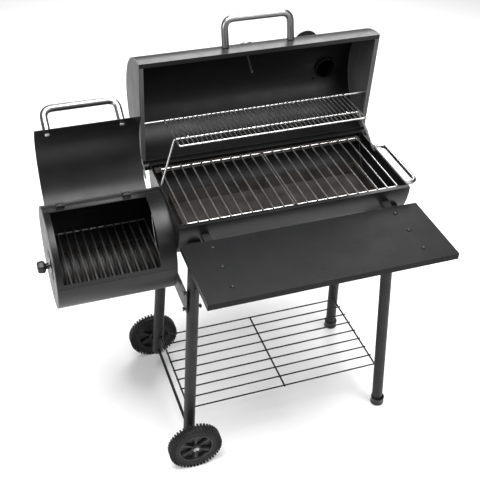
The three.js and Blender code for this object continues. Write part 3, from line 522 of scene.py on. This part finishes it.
def tube_piece(name, corners, radius, bend, body, slot, material=None, sides=24):
    bm = bmesh.new()
    add_tube(bm, rounded_path(corners, bend), radius, sides, cap=0.12)
    return finish_piece(bm, name, body, slot, material)


def axis_matrix(origin, axis):
    return Matrix.Translation(origin) @ Vector(axis).to_track_quat("Z", "Y").to_matrix().to_4x4()


def add_lathe(bm, profile, place, sides=48):
    """Spins a (radius, height) profile round place's Z; a radius of 0 closes it."""
    rings = []
    for radius, height in profile:
        if radius == 0:
            rings.append([bm.verts.new(place @ Vector((0, 0, height)))])
            continue
        ring = [place @ Vector((radius * math.cos(a), radius * math.sin(a), height)) for a in turns(sides)]
        rings.append([bm.verts.new(point) for point in ring])
    for ring, following in zip(rings, rings[1:]):
        if len(ring) == 1 and len(following) == 1:
            continue
        if len(ring) > 1 and len(following) > 1:
            bridge(bm, ring, following)
            continue
        for k in range(sides):
            n = (k + 1) % sides
            if len(ring) == 1:
                bm.faces.new((ring[0], following[n], following[k]))
            else:
                bm.faces.new((ring[k], ring[n], following[0]))


def lathe_piece(name, profile, place, body, slot, material=None, sides=48, bevel=0.0):
    bm = bmesh.new()
    add_lathe(bm, profile, place, sides)
    weld(bm)
    return finish_piece(bm, name, body, slot, material, bevel=bevel)


def add_block(bm, place, size, top=1.0):
    """A block on place's XY plane, narrowed at its top."""
    sx, sy, sz = (s / 2 for s in size)
    low = [(-sx, -sy), (sx, -sy), (sx, sy), (-sx, sy)]
    bottom = [bm.verts.new(place @ Vector((x, y, 0))) for x, y in low]
    upper = [bm.verts.new(place @ Vector((x * top, y * top, 2 * sz))) for x, y in low]
    bm.faces.new(bottom[::-1])
    bm.faces.new(upper)
    bridge(bm, bottom, upper)


def add_pan_screw(bm, place, radius):
    """A pan head with a cross recess, on place's XY plane."""
    h = 0.55 * radius
    head = [(radius, 0), (radius, 0.35 * h), (0.86 * radius, 0.75 * h), (0.5 * radius, h), (0, h)]
    add_lathe(bm, head, place, 24)
    for turn in (0, math.pi / 2):
        slot = place @ Matrix.Rotation(turn, 4, "Z") @ Matrix.Translation((0, 0, 0.9 * h))
        add_block(bm, slot, (0.9 * radius, 0.18 * radius, 0.12 * h))


def add_hex(bm, place, radius, height):
    """A hexagon nut or bolt head on a washer."""
    washer = [(0, 0), (1.35 * radius, 0), (1.35 * radius, 0.12 * height), (0, 0.12 * height)]
    add_lathe(bm, washer, place, 24)
    raised = place @ Matrix.Translation((0, 0, 0.12 * height))
    head = [(radius, 0), (radius, 0.75 * height), (0.88 * radius, 0.88 * height), (0, 0.88 * height)]
    add_lathe(bm, head, raised, 6)


# ---- carried-over CAD nodes: materials and soft edges ----
def dress_cad_node(node):
    mesh = node.data
    if "custom_normal" in mesh.attributes:
        mesh.attributes.remove(mesh.attributes["custom_normal"])
    mesh.materials.clear()
    mesh.materials.append(PAINT[SLOT_OF[node.name]])
    mesh.shade_smooth()
    weld = node.modifiers.new("joined_corners", "WELD")
    weld.merge_threshold = 0.01 * MM
    add_bevel(node, 0.6 * MM)


# ---- wire grates and racks ----
def cross_wires(bm, low, high, z, radius, pitch, sides=10):
    """Wires along Y, evenly spaced along X."""
    span = high.x - low.x - 2 * radius
    count = round(span / pitch)
    for i in range(count + 1):
        x = low.x + radius + span * i / count
        add_tube(bm, [(x, low.y, z), (x, high.y, z)], radius, sides)


def flat_grate(node, name, pitch, wire, bar, slot):
    """Parallel wires welded on two bars that run under their ends."""
    low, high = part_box(node)
    bm = bmesh.new()
    cross_wires(bm, low, high, high.z - wire, wire, pitch)
    for y in (low.y + GRATE_BAR_INSET, high.y - GRATE_BAR_INSET):
        z = low.z + bar
        add_tube(bm, [(low.x, y, z), (high.x, y, z)], bar, 12)
    piece = finish_piece(bm, name, "cart", slot)
    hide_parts(node)


def warming_rack():
    """Fine wires between the back rod, which is its hinge, and the front rod."""
    low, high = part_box("warming_rack")
    hinge = Vector(JOINTS["warming_rack_hinge"]["pos_m"])
    front_y = low.y + WARM_OVERHANG + WARM_ROD_R
    top = high.z - WARM_WIRE_R
    front_z = top - WARM_WIRE_R - WARM_ROD_R
    left, right = BARREL_X - WARM_HALF, BARREL_X + WARM_HALF
    bm = bmesh.new()
    add_tube(bm, [(low.x, hinge.y, hinge.z), (high.x, hinge.y, hinge.z)], WARM_ROD_R, 16)
    add_tube(bm, [(left, front_y, front_z), (right, front_y, front_z)], WARM_ROD_R, 16)
    count = round(2 * WARM_HALF / WARM_PITCH)
    for i in range(count + 1):
        x = left + 2 * WARM_HALF * i / count
        radius = WARM_END_R if i in (0, count) else WARM_WIRE_R
        back_end = (x, hinge.y + WARM_OVERHANG, hinge.z + WARM_ROD_R + WARM_WIRE_R * 0.8)
        add_tube(bm, [(x, front_y - WARM_OVERHANG, top), back_end], radius, 8)
    for side in (-1, 1):
        add_hook(bm, BARREL_X + side * (WARM_HALF - HOOK_INSET))
    piece = finish_piece(bm, "warming_rack_wires", "warming_rack", "bright_steel")
    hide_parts("warming_rack")


def add_hook(bm, x):
    """The open loop under the rack that lies round the bail's top bar."""
    bail_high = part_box("warming_rack_bail")[1]
    y, z = hook_centre_y(), bail_high.z - BAIL_R
    angles = [math.radians(degrees) for degrees in range(110, 351, 15)]
    loop = [(x, y + HOOK_R * math.cos(a), z + HOOK_R * math.sin(a)) for a in angles]
    add_tube(bm, [(x, y + 1 * MM, z + 8 * MM), (x, y, z + 6.4 * MM)] + loop, HOOK_WIRE_R, 8)


def hook_centre_y():
    foot = Vector(JOINTS["warming_bail_hinge"]["pos_m"])
    rack = Vector(JOINTS["warming_rack_hinge"]["pos_m"])
    lid = Vector(JOINTS["lid_hinge"]["pos_m"])
    return foot.y + rack.y - lid.y


def warming_bail():
    low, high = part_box("warming_rack_bail")
    foot = Vector(JOINTS["warming_bail_hinge"]["pos_m"])
    top_y, top_z = hook_centre_y(), high.z - BAIL_R
    top_half, foot_half = WARM_HALF + BAIL_CLEAR, (high.x - low.x) / 2 - BAIL_FOOT
    corners = [(low.x, foot.y, foot.z), (BARREL_X - foot_half, foot.y, foot.z),
               (BARREL_X - top_half, top_y, top_z), (BARREL_X + top_half, top_y, top_z),
               (BARREL_X + foot_half, foot.y, foot.z), (high.x, foot.y, foot.z)]
    piece = tube_piece(
        "warming_bail_wire", corners, BAIL_R, BAIL_BEND, "warming_bail", "bright_steel", sides=16)
    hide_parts("warming_rack_bail")


def bottom_rack():
    low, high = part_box("bottom_rack")
    bar_z, wire_z = low.z + RACK_BAR_R, high.z - RACK_WIRE_R
    bm = bmesh.new()
    for x in (low.x + RACK_BAR_INSET, (low.x + high.x) / 2, high.x - RACK_BAR_INSET):
        add_tube(bm, [(x, low.y, bar_z), (x, high.y, bar_z)], RACK_BAR_R, 14)
    first, last = low.y + RACK_WIRE_INSET, high.y - RACK_WIRE_INSET
    for i in range(RACK_WIRES):
        y = first + (last - first) * i / (RACK_WIRES - 1)
        add_tube(bm, [(low.x, y, wire_z), (high.x, y, wire_z)], RACK_WIRE_R, 12)
    piece = finish_piece(bm, "bottom_rack_wires", "cart", "black_wire")
    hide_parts("bottom_rack")


def all_grates():
    wires = (GRATE_WIRE_R, GRATE_BAR_R, "bright_steel")
    bars = (COAL_WIRE_R, COAL_BAR_R, "fire_steel")
    for side in ("left", "right"):
        flat_grate(f"cooking_grate_{side}", f"cooking_grate_{side}_wires", GRATE_PITCH, *wires)
    flat_grate("firebox_grate", "firebox_grate_wires", BOX_GRATE_PITCH, *wires)
    flat_grate("firebox_coal_grate", "firebox_coal_grate_bars", BOX_GRATE_PITCH, *bars)
    warming_rack()
    warming_bail()
    bottom_rack()


# ---- handles ----
def top_handle(node, body, on_roll, at, foot, out, screw_seat, screw_r):
    """A bent tube on a lid, and the two screws that hold it from inside."""
    low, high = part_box(node)
    left, right = low.x + HANDLE_R, high.x - HANDLE_R
    corners = [on_roll(at, foot, left), on_roll(at, out, left),
               on_roll(at, out, right), on_roll(at, foot, right)]
    piece = tube_piece(
        f"{node}_tube", corners, HANDLE_R, HANDLE_BEND, body, "bright_steel", BRUSHED, 32)
    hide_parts(node)
    inward = (on_roll(at, 0, left) - on_roll(at, 1, left)).normalized()
    screws = bmesh.new()
    for x in (left, right):
        add_pan_screw(screws, axis_matrix(on_roll(at, screw_seat, x), inward), screw_r)
    finish_piece(screws, f"{node}_screws", body, "bright_steel")


def lid_handle():
    top_handle("lid_handle", "lid", on_lid, LID_HANDLE_AT, foot=BARREL_R + GAP,
               out=BARREL_R + LID_HANDLE_REACH, screw_seat=BARREL_R - UNDER_SHEET, screw_r=6 * MM)


def firebox_handle():
    foot = BOX_R + BOX_LID_TOP
    top_handle("firebox_handle", "firebox_lid", on_box_lid, BOX_HANDLE_AT, foot=foot,
               out=foot + BOX_HANDLE_REACH, screw_seat=BOX_R + BOX_LID_UNDER, screw_r=8 * MM)


def side_handle():
    low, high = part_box("bowl_handle")
    radius = (high.z - low.z) / 2
    z = (low.z + high.z) / 2
    near, far = low.x, high.x - radius
    front, back = low.y + radius, high.y - radius
    corners = [(near, front, z), (far, front, z), (far, back, z), (near, back, z)]
    piece = tube_piece("side_handle_tube", corners, radius, SIDE_HANDLE_BEND, "cart", "chrome", sides=28)
    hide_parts("bowl_handle")
    flange = [(0, 0), (12 * MM, 0), (12 * MM, 1.2 * MM), (8 * MM, 2.4 * MM), (0, 2.4 * MM)]
    bm = bmesh.new()
    for y in (front, back):
        add_lathe(bm, flange, axis_matrix((near, y, z), (1, 0, 0)), 28)
    finish_piece(bm, "side_handle_flanges", "cart", "chrome")


# ---- chimney ----
def shut_cap():
    """The middle of the chimney's cap, with the lid shut."""
    cap = middle("chimney_cap")
    shut = LID_TURN.inverted() @ cap
    return Vector((cap.x, shut.y, shut.z))


def chimney():
    cap = shut_cap()
    saddle_at = math.degrees(math.acos((cap.y - BARREL_Y) / BARREL_R))
    place = LID_TURN @ Matrix.Translation((cap.x, cap.y, cap.z - CAP_OVER_PIPE - PIPE_LENGTH))
    chimney_pipe(place, cap.x, saddle_at)
    chimney_bolts(cap.x, saddle_at)
    cap_stud(place)
    chimney_cap()


def chimney_pipe(place, x, saddle_at):
    """The pipe with a rolled bead at its mouth, and the saddle it stands on."""
    outer, inner = PIPE_R, PIPE_R - PIPE_WALL
    profile = [(inner, 0), (outer, 0), (outer, PIPE_LENGTH - 2 * PIPE_BEAD),
               (outer + PIPE_BEAD, PIPE_LENGTH - PIPE_BEAD), (outer, PIPE_LENGTH),
               (inner, PIPE_LENGTH), (inner, 0)]
    bm = bmesh.new()
    add_lathe(bm, profile, place, 64)
    weld(bm)
    add_saddle(bm, x, saddle_at)
    piece = finish_piece(bm, "chimney_pipe_and_saddle", "lid", "black_shell")
    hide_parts("chimney_pipe")


def chimney_bolts(x, saddle_at):
    """Four pan heads on the saddle's corners, each with its nut inside the lid."""
    bm = bmesh.new()
    for side in (-1, 1):
        for turn in (-SADDLE_BOLT_TURN, SADDLE_BOLT_TURN):
            bolt_x = x + side * SADDLE_BOLT_X
            inside = on_lid(saddle_at + turn, BARREL_R - UNDER_SHEET, bolt_x)
            outside = on_lid(saddle_at + turn, BARREL_R + 2.5 * MM, bolt_x)
            inward = (inside - outside).normalized()
            add_hex(bm, axis_matrix(inside, inward), 3.4 * MM, 4 * MM)
            add_pan_screw(bm, axis_matrix(outside, -inward), 5 * MM)
    finish_piece(bm, "chimney_bolts", "lid", "black_shell")


def add_saddle(bm, x, centre_deg):
    """The curved flange between pipe and lid, a ring on the roll."""
    loops = []
    for lift in (GAP, GAP + SADDLE_THICK):
        for reach in (PIPE_R, SADDLE_HALF):
            ring = []
            for a in turns(64):
                square = max(abs(math.cos(a)), abs(math.sin(a)))
                far = reach if reach == PIPE_R else min(reach / square, 1.22 * reach)
                off = math.degrees(far * math.sin(a) / BARREL_R)
                point = on_lid(centre_deg - off, BARREL_R + lift, x + far * math.cos(a))
                ring.append(bm.verts.new(point))
            loops.append(ring)
    low_in, low_out, high_in, high_out = loops
    for first, second in ((low_in, low_out), (low_out, high_out), (high_out, high_in), (high_in, low_in)):
        bridge(bm, first, second)


def cap_stud(place):
    """A flat bar across the pipe's mouth, with the stud that the cap slides on."""
    bm = bmesh.new()
    bar = place @ Matrix.Translation((0, 0, PIPE_LENGTH - 12 * MM))
    add_block(bm, bar, (2 * PIPE_R - 3.5 * MM, 14 * MM, 3 * MM))
    foot = place @ Vector((0, 0, PIPE_LENGTH - 10 * MM))
    tip = place @ Vector((0, 0, PIPE_LENGTH + STUD_REACH))
    add_tube(bm, [foot, tip], STUD_R, 20)
    finish_piece(bm, "chimney_cap_stud", "lid", "bright_steel")


def chimney_cap():
    """A domed cap with a rolled rim and a collar round the stud."""
    shut = LID_TURN.inverted() @ middle("chimney_cap")
    place = LID_TURN @ Matrix.Translation(shut) @ Matrix.Translation((0, 0, -CAP_HALF_HEIGHT))
    hole = 3.4 * MM
    under = [(hole, 16.4 * MM), (14 * MM, 15 * MM), (24 * MM, 11.6 * MM),
             (34 * MM, 6.6 * MM), (41 * MM, 2 * MM)]
    rim = [(44 * MM, 0), (45.6 * MM, 0.6 * MM), (45.6 * MM, 2.4 * MM), (42 * MM, 5 * MM)]
    over = [(34 * MM, 9.4 * MM), (24 * MM, 14.2 * MM), (14 * MM, 17.6 * MM), (8.5 * MM, 18.6 * MM)]
    collar = [(8.2 * MM, 24.6 * MM), (7 * MM, 26 * MM), (hole, 26 * MM), (hole, 16.4 * MM)]
    dome = under + rim + over + collar
    piece = lathe_piece("chimney_cap_dome", dome, place, "chimney_cap", "black_shell", sides=56)
    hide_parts("chimney_cap")


# ---- thermometer ----
def thermometer():
    x = middle("thermometer").x
    out = (on_lid(THERMO_AT, 1, x) - on_lid(THERMO_AT, 0, x)).normalized()
    across = LID_TURN.to_3x3() @ Vector((1, 0, 0))
    up = out.cross(across).normalized()
    face = Matrix((across, up, out)).transposed().to_4x4()
    face.translation = on_lid(THERMO_AT, BARREL_R, x)
    scale = CASE_R / DRAWN_CASE_R
    face = face @ Matrix.Diagonal((scale, scale, 1, 1))
    case = [(0, 1.6 * MM), (29 * MM, 1.6 * MM), (32 * MM, 3 * MM),
            (DRAWN_CASE_R, 5 * MM), (DRAWN_CASE_R, 13 * MM)]
    bezel = [(33 * MM, 15.4 * MM), (31.4 * MM, CASE_DEPTH), (29.6 * MM, 15 * MM), (29.2 * MM, 11.4 * MM),
             (0, 11.4 * MM)]
    piece = lathe_piece("thermometer_case", case + bezel, face, "lid", "bright_steel", BRUSHED, 72)
    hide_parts("thermometer")
    dial = [(0, 11.5 * MM), (29 * MM, 11.5 * MM), (29 * MM, 12 * MM), (0, 12 * MM)]
    lathe_piece("thermometer_dial", dial, face, "lid", "bright_steel", dial_enamel(), 64)
    glass = [(0, 14 * MM), (29.3 * MM, 14 * MM), (29.3 * MM, 14.9 * MM), (16 * MM, 15.4 * MM), (0, 15.6 * MM)]
    lathe_piece("thermometer_glass", glass, face, "lid", "bright_steel", dial_glass(), 64)
    dial_marks(face)
    thermometer_stem(x, out)


def thermometer_stem(x, out):
    """The probe inside the lid, and the nut that holds the thermometer."""
    bm = bmesh.new()
    tip = on_lid(THERMO_AT, BARREL_R - STEM_REACH, x)
    add_tube(bm, [tip, on_lid(THERMO_AT, BARREL_R - 3 * MM, x)], STEM_R, 20)
    nut_at = on_lid(THERMO_AT, BARREL_R - 2.2 * MM, x)
    add_hex(bm, axis_matrix(nut_at, -out), 9 * MM, 7 * MM)
    finish_piece(bm, "thermometer_stem", "lid", "bright_steel")


def dial_marks(face):
    """Ticks, numbers and a needle on the dial."""
    ink = dial_ink()
    ticks = bmesh.new()
    for i in range(DIAL_TICKS + 1):
        a = DIAL_START - DIAL_SWEEP * i / DIAL_TICKS
        long = 3.6 * MM if i % 5 == 0 else 2 * MM
        place = face @ Matrix.Rotation(a, 4, "Z") @ Matrix.Translation((26 * MM - long / 2, 0, 12 * MM))
        add_block(ticks, place, (long, 0.5 * MM, 0.15 * MM))
    finish_piece(ticks, "thermometer_ticks", "lid", "bright_steel", ink)
    ring = 18.5 * MM
    for i in range(DIAL_NUMBERS):
        a = DIAL_START - DIAL_SWEEP * i / (DIAL_NUMBERS - 1)
        at = Vector((ring * math.cos(a), ring * math.sin(a), 12.05 * MM))
        dial_number(str(50 * i), face @ Matrix.Translation(at), ink)
    needle = bmesh.new()
    place = face @ Matrix.Rotation(DIAL_START - 0.03, 4, "Z") @ Matrix.Translation((7 * MM, 0, 12.6 * MM))
    add_block(needle, place, (24 * MM, 1.3 * MM, 0.5 * MM), 0.8)
    add_lathe(needle, [(0, 12 * MM), (3 * MM, 12 * MM), (3 * MM, 13.4 * MM), (0, 13.7 * MM)], face, 24)
    finish_piece(needle, "thermometer_needle", "lid", "bright_steel", dial_needle_paint())


def dial_number(number, place, ink):
    text = bpy.data.curves.new(f"text_{number}", "FONT")
    text.body = number
    text.size = 5.4 * MM
    text.extrude = 0.06 * MM
    text.align_x = "CENTER"
    text.align_y = "CENTER"
    holder = add_object(f"holder_{number}", text)
    bpy.context.view_layer.update()
    mesh = bpy.data.meshes.new_from_object(holder.evaluated_get(bpy.context.evaluated_depsgraph_get()))
    bpy.data.objects.remove(holder)
    mesh.transform(place)
    mesh.materials.clear()
    mesh.materials.append(ink)
    piece = add_object(f"thermometer_number_{number}", mesh)
    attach(piece, "lid")


# ---- wheels ----
def wheel(end):
    low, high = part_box(f"tyre_{end}")
    radius = (high.z - low.z) / 2
    half = (high.y - low.y) / 2
    body = f"wheel_{end}"
    place = axis_matrix(middle(f"tyre_{end}"), (0, 1, 0))
    tyre(place, radius, half, end, body)
    hub(place, half, end, body)


def tyre(place, radius, half, end, body):
    inner, floor_r = TYRE_INNER_R, radius - TREAD_DEPTH
    profile = [(inner, -half + 3 * MM), (inner + 4 * MM, -half + 1 * MM), (inner + 7 * MM, -half + 2 * MM),
               (floor_r - 9 * MM, -half + 2 * MM), (floor_r - 2 * MM, -half + 5 * MM),
               (floor_r, -half + 9 * MM)]
    profile += [(r, -h) for r, h in reversed(profile)] + [profile[0]]
    bm = bmesh.new()
    add_lathe(bm, profile, place, 96)
    weld(bm)
    for i in range(LUGS):
        for side in (-1, 1):
            a = 2 * math.pi / LUGS * (i + (0.5 if side > 0 else 0))
            lug = place @ Matrix.Rotation(a, 4, "Z") @ Matrix.Rotation(math.pi / 2, 4, "Y")
            lug = lug @ Matrix.Translation((-side * half * 0.5, 0, floor_r - 1.2 * MM))
            add_block(bm, lug, (half * 0.98, 7 * MM, radius - floor_r + 0.9 * MM), 0.86)
    for a in turns(SIDE_RIBS):
        for side in (-1, 1):
            spot = Matrix.Translation((RIB_AT, 0, side * (half - 2.2 * MM)))
            rib = place @ Matrix.Rotation(a, 4, "Z") @ spot
            if side < 0:
                rib = rib @ Matrix.Rotation(math.pi, 4, "X")
            add_block(bm, rib, (14 * MM, 2.4 * MM, 1.6 * MM), 0.75)
    piece = finish_piece(bm, f"tyre_{end}_tread", body, "tyre_plastic", bevel=0.5 * MM)
    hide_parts(f"tyre_{end}")


def hub(place, half, end, body):
    """A rim, a boss, the thin web between them and the spokes on it."""
    rim, inside, edge = HUB_RIM_R, HUB_INSIDE_R, half - 2 * MM
    ring = [(inside, -edge + 2 * MM), (inside + 1.5 * MM, -edge), (rim, -edge), (rim, edge),
            (inside + 1.5 * MM, edge), (inside, edge - 2 * MM), (inside - 1.5 * MM, 0),
            (inside, -edge + 2 * MM)]
    boss = [(HUB_BORE_R, -half), (13 * MM, -half), (16 * MM, -half + 3 * MM), (17 * MM, 0),
            (16 * MM, half - 3 * MM), (13 * MM, half), (HUB_BORE_R, half), (HUB_BORE_R, -half)]
    web = [(15 * MM, -WEB_HALF), (inside, -WEB_HALF), (inside, WEB_HALF), (15 * MM, WEB_HALF),
           (15 * MM, -WEB_HALF)]
    bm = bmesh.new()
    for profile, sides in ((ring, 72), (boss, 48), (web, 72)):
        add_lathe(bm, profile, place, sides)
    weld(bm)
    for i in range(SPOKES):
        add_spoke(bm, place @ Matrix.Rotation(2 * math.pi * (i + 0.5) / SPOKES, 4, "Z"))
    piece = finish_piece(bm, f"wheel_{end}_hub", body, "black_plastic", bevel=0.6 * MM)
    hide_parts(f"wheel_hub_{end}")


def add_spoke(bm, place):
    """A fan-shaped web with raised edges, wider at the rim."""
    stations = [(14 * MM, 5.5 * MM), (30 * MM, 6.4 * MM), (44 * MM, 9 * MM), (54 * MM, 14 * MM)]
    for height, share in ((7.5 * MM, 1.0), (10.5 * MM, 0.55)):
        loops = []
        for r, w in stations:
            corners = ((-w * share, -height), (w * share, -height), (w * share, height), (-w * share, height))
            loops.append([bm.verts.new(place @ Vector((r, y, z))) for y, z in corners])
        for first, second in zip(loops, loops[1:]):
            bridge(bm, first, second)
        bm.faces.new(loops[0][::-1])
        bm.faces.new(loops[-1])


def axle():
    """The dark rod between the wheels, with a bright nut outside each of them."""
    low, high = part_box("axle")
    x, z = (low.x + high.x) / 2, (low.z + high.z) / 2
    rod = bmesh.new()
    add_tube(rod, [(x, low.y, z), (x, high.y, z)], AXLE_R, 32)
    nuts = bmesh.new()
    for side, end in ((-1, "front"), (1, "back")):
        wheel_low, wheel_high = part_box(f"wheel_hub_{end}")
        inner_y, outer_y = (wheel_high.y, wheel_low.y) if side < 0 else (wheel_low.y, wheel_high.y)
        collar = [(AXLE_R, 0), (10 * MM, 0), (10 * MM, 3 * MM), (AXLE_R, 3 * MM)]
        add_lathe(rod, collar, axis_matrix((x, inner_y - side * 1 * MM, z), (0, -side, 0)), 32)
        add_hex(nuts, axis_matrix((x, outer_y + side * 1 * MM, z), (0, side, 0)), 7 * MM, 8 * MM)
    piece = finish_piece(rod, "axle_rod", "cart", "black_wire")
    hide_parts("axle")
    finish_piece(nuts, "axle_nuts", "cart", "bright_steel")


# ---- knob, feet, small fasteners ----
def air_knob():
    """A six-sided grip with rounded corners on a round neck that faces the firebox."""
    low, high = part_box("air_knob")
    y, z = (low.y + high.y) / 2, (low.z + high.z) / 2
    length, widest, sides, steps = high.x - low.x, (high.z - low.z) / 2, 6, 96
    grip_end = 0.7
    grip = [(0.0, 0.0), (0.0, 0.6), (0.03, 0.8), (0.1, 0.9), (0.2, 0.94), (0.45, 1.0), (0.58, 0.96),
            (0.66, 0.8)]
    neck = [(0.73, 0.5), (0.76, 0.44), (1.0, 0.44), (1.0, 0.2)]
    bm = bmesh.new()
    rings = []
    for along, share in grip + neck:
        ring = []
        for a in turns(steps):
            from_flat = (a + math.pi / sides) % (2 * math.pi / sides) - math.pi / sides
            flat = math.cos(math.pi / sides) / math.cos(from_flat)
            r = widest * share * (min(1.0, 1.06 * flat) if along < grip_end else 1.0)
            point = (low.x + along * length, y + r * math.cos(a), z + r * math.sin(a))
            ring.append(bm.verts.new(point))
        rings.append(ring)
    for first, second in zip(rings, rings[1:]):
        bridge(bm, first, second)
    bm.faces.new(rings[-1])
    weld(bm)
    piece = finish_piece(bm, "air_knob_grip", "air_damper", "black_plastic", sharp=24)
    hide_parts("air_knob")


def foot_cap(end):
    low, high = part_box(f"foot_cap_{end}")
    centre = middle(f"foot_cap_{end}")
    place = Matrix.Translation((centre.x, centre.y, low.z))
    outer = (high.x - low.x) / 2
    profile = [(0, 0), (outer - 3 * MM, 0), (outer - 1 * MM, 0.8 * MM), (outer, 3 * MM), (outer, 5 * MM),
               (outer - 1 * MM, 6 * MM), (outer - 1 * MM, 24 * MM), (outer, 25.5 * MM),
               (outer - 0.3 * MM, 28 * MM),
               (outer - 1.4 * MM, 30 * MM), (22 * MM, 30 * MM), (22 * MM, 2.2 * MM), (0, 2.2 * MM)]
    piece = lathe_piece(f"foot_cap_{end}_moulded", profile, place, "cart", "black_plastic", sides=56)
    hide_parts(f"foot_cap_{end}")


def hinge_screws():
    """Two small screws on each firebox hinge leaf."""
    still = Matrix.Identity(4)
    leaves = (("cart", "fixed", 71, 2.1 * MM, still), ("firebox_lid", "moving", 90.6, 5.1 * MM, BOX_TURN))
    for body, kind, degrees, lift, move in leaves:
        a = math.radians(degrees)
        radius = BOX_R + lift
        out = move.to_3x3() @ Vector((0, math.cos(a), math.sin(a)))
        bm = bmesh.new()
        for i in (1, 2):
            x = middle(f"firebox_hinge_{kind}_{i}").x
            for side in (-1, 1):
                shut = Vector((x + side * 7 * MM, BOX_Y + radius * math.cos(a), BOX_Z + radius * math.sin(a)))
                add_pan_screw(bm, axis_matrix(move @ shut, out), 2.2 * MM)
        finish_piece(bm, f"firebox_hinge_screws_{kind}", body, "leg_paint")


# ---- floor, light, camera ----
def floor():
    bm = bmesh.new()
    bmesh.ops.create_circle(bm, cap_ends=True, radius=40, segments=96)
    mesh = bpy.data.meshes.new("floor")
    bm.to_mesh(mesh)
    bm.free()
    plane = add_object("floor", mesh)
    material, tree, shader = start_material("pale_floor")
    tone = ramp(tree, noise(tree, stretched_coords(tree, (1, 1, 1)), 0.8), [(0.3, 0.86), (0.7, 0.88)])
    tree.links.new(tone, shader.inputs["Base Color"])
    shader.inputs["Roughness"].default_value = 0.9
    shader.inputs["Specular IOR Level"].default_value = 0.1
    mesh.materials.append(material)
    plane.location.z = CAD_BOX[0].z - FLOOR_DROP


def softbox(name, place, size, watts):
    data = bpy.data.lights.new(name, "AREA")
    data.shape = "RECTANGLE"
    data.size, data.size_y = size
    data.energy = watts
    light = add_object(name, data)
    light.location = place
    light.rotation_mode = "QUATERNION"
    light.rotation_quaternion = (Vector(LIGHTS_AIM) - Vector(place)).to_track_quat("-Z", "Y")


def studio():
    world = bpy.data.worlds.new("studio")
    world.use_nodes = True
    background = world.node_tree.nodes["Background"]
    background.inputs["Color"].default_value = (1.0, 1.0, 1.0, 1)
    background.inputs["Strength"].default_value = WORLD_LIGHT
    bpy.context.scene.world = world
    for light in LIGHTS:
        softbox(*light)
    bpy.context.scene.view_settings.view_transform = "Standard"


def camera():
    data = bpy.data.cameras.new("camera")
    data.lens = CAMERA_LENS
    data.sensor_width = 36
    view = add_object("camera", data)
    level = math.cos(CAMERA_PITCH)
    ahead = Vector((-math.sin(CAMERA_YAW) * level, math.cos(CAMERA_YAW) * level, -math.sin(CAMERA_PITCH)))
    right = Vector((math.cos(CAMERA_YAW), math.sin(CAMERA_YAW), 0))
    up = right.cross(ahead)
    tilted_right = math.cos(CAMERA_ROLL) * right + math.sin(CAMERA_ROLL) * up
    tilted_up = -math.sin(CAMERA_ROLL) * right + math.cos(CAMERA_ROLL) * up
    turn = Matrix((tilted_right, tilted_up, -ahead)).transposed().to_4x4()
    view.matrix_world = Matrix.Translation(CAMERA_AT) @ turn
    bpy.context.scene.camera = view


# ---- build everything ----
for cad_node in frame["nodes"].values():
    dress_cad_node(cad_node)
all_grates()
lid_handle()
firebox_handle()
side_handle()
chimney()
thermometer()
for end_name in ("front", "back"):
    wheel(end_name)
    foot_cap(end_name)
axle()
air_knob()
hinge_screws()
floor()
studio()
camera()
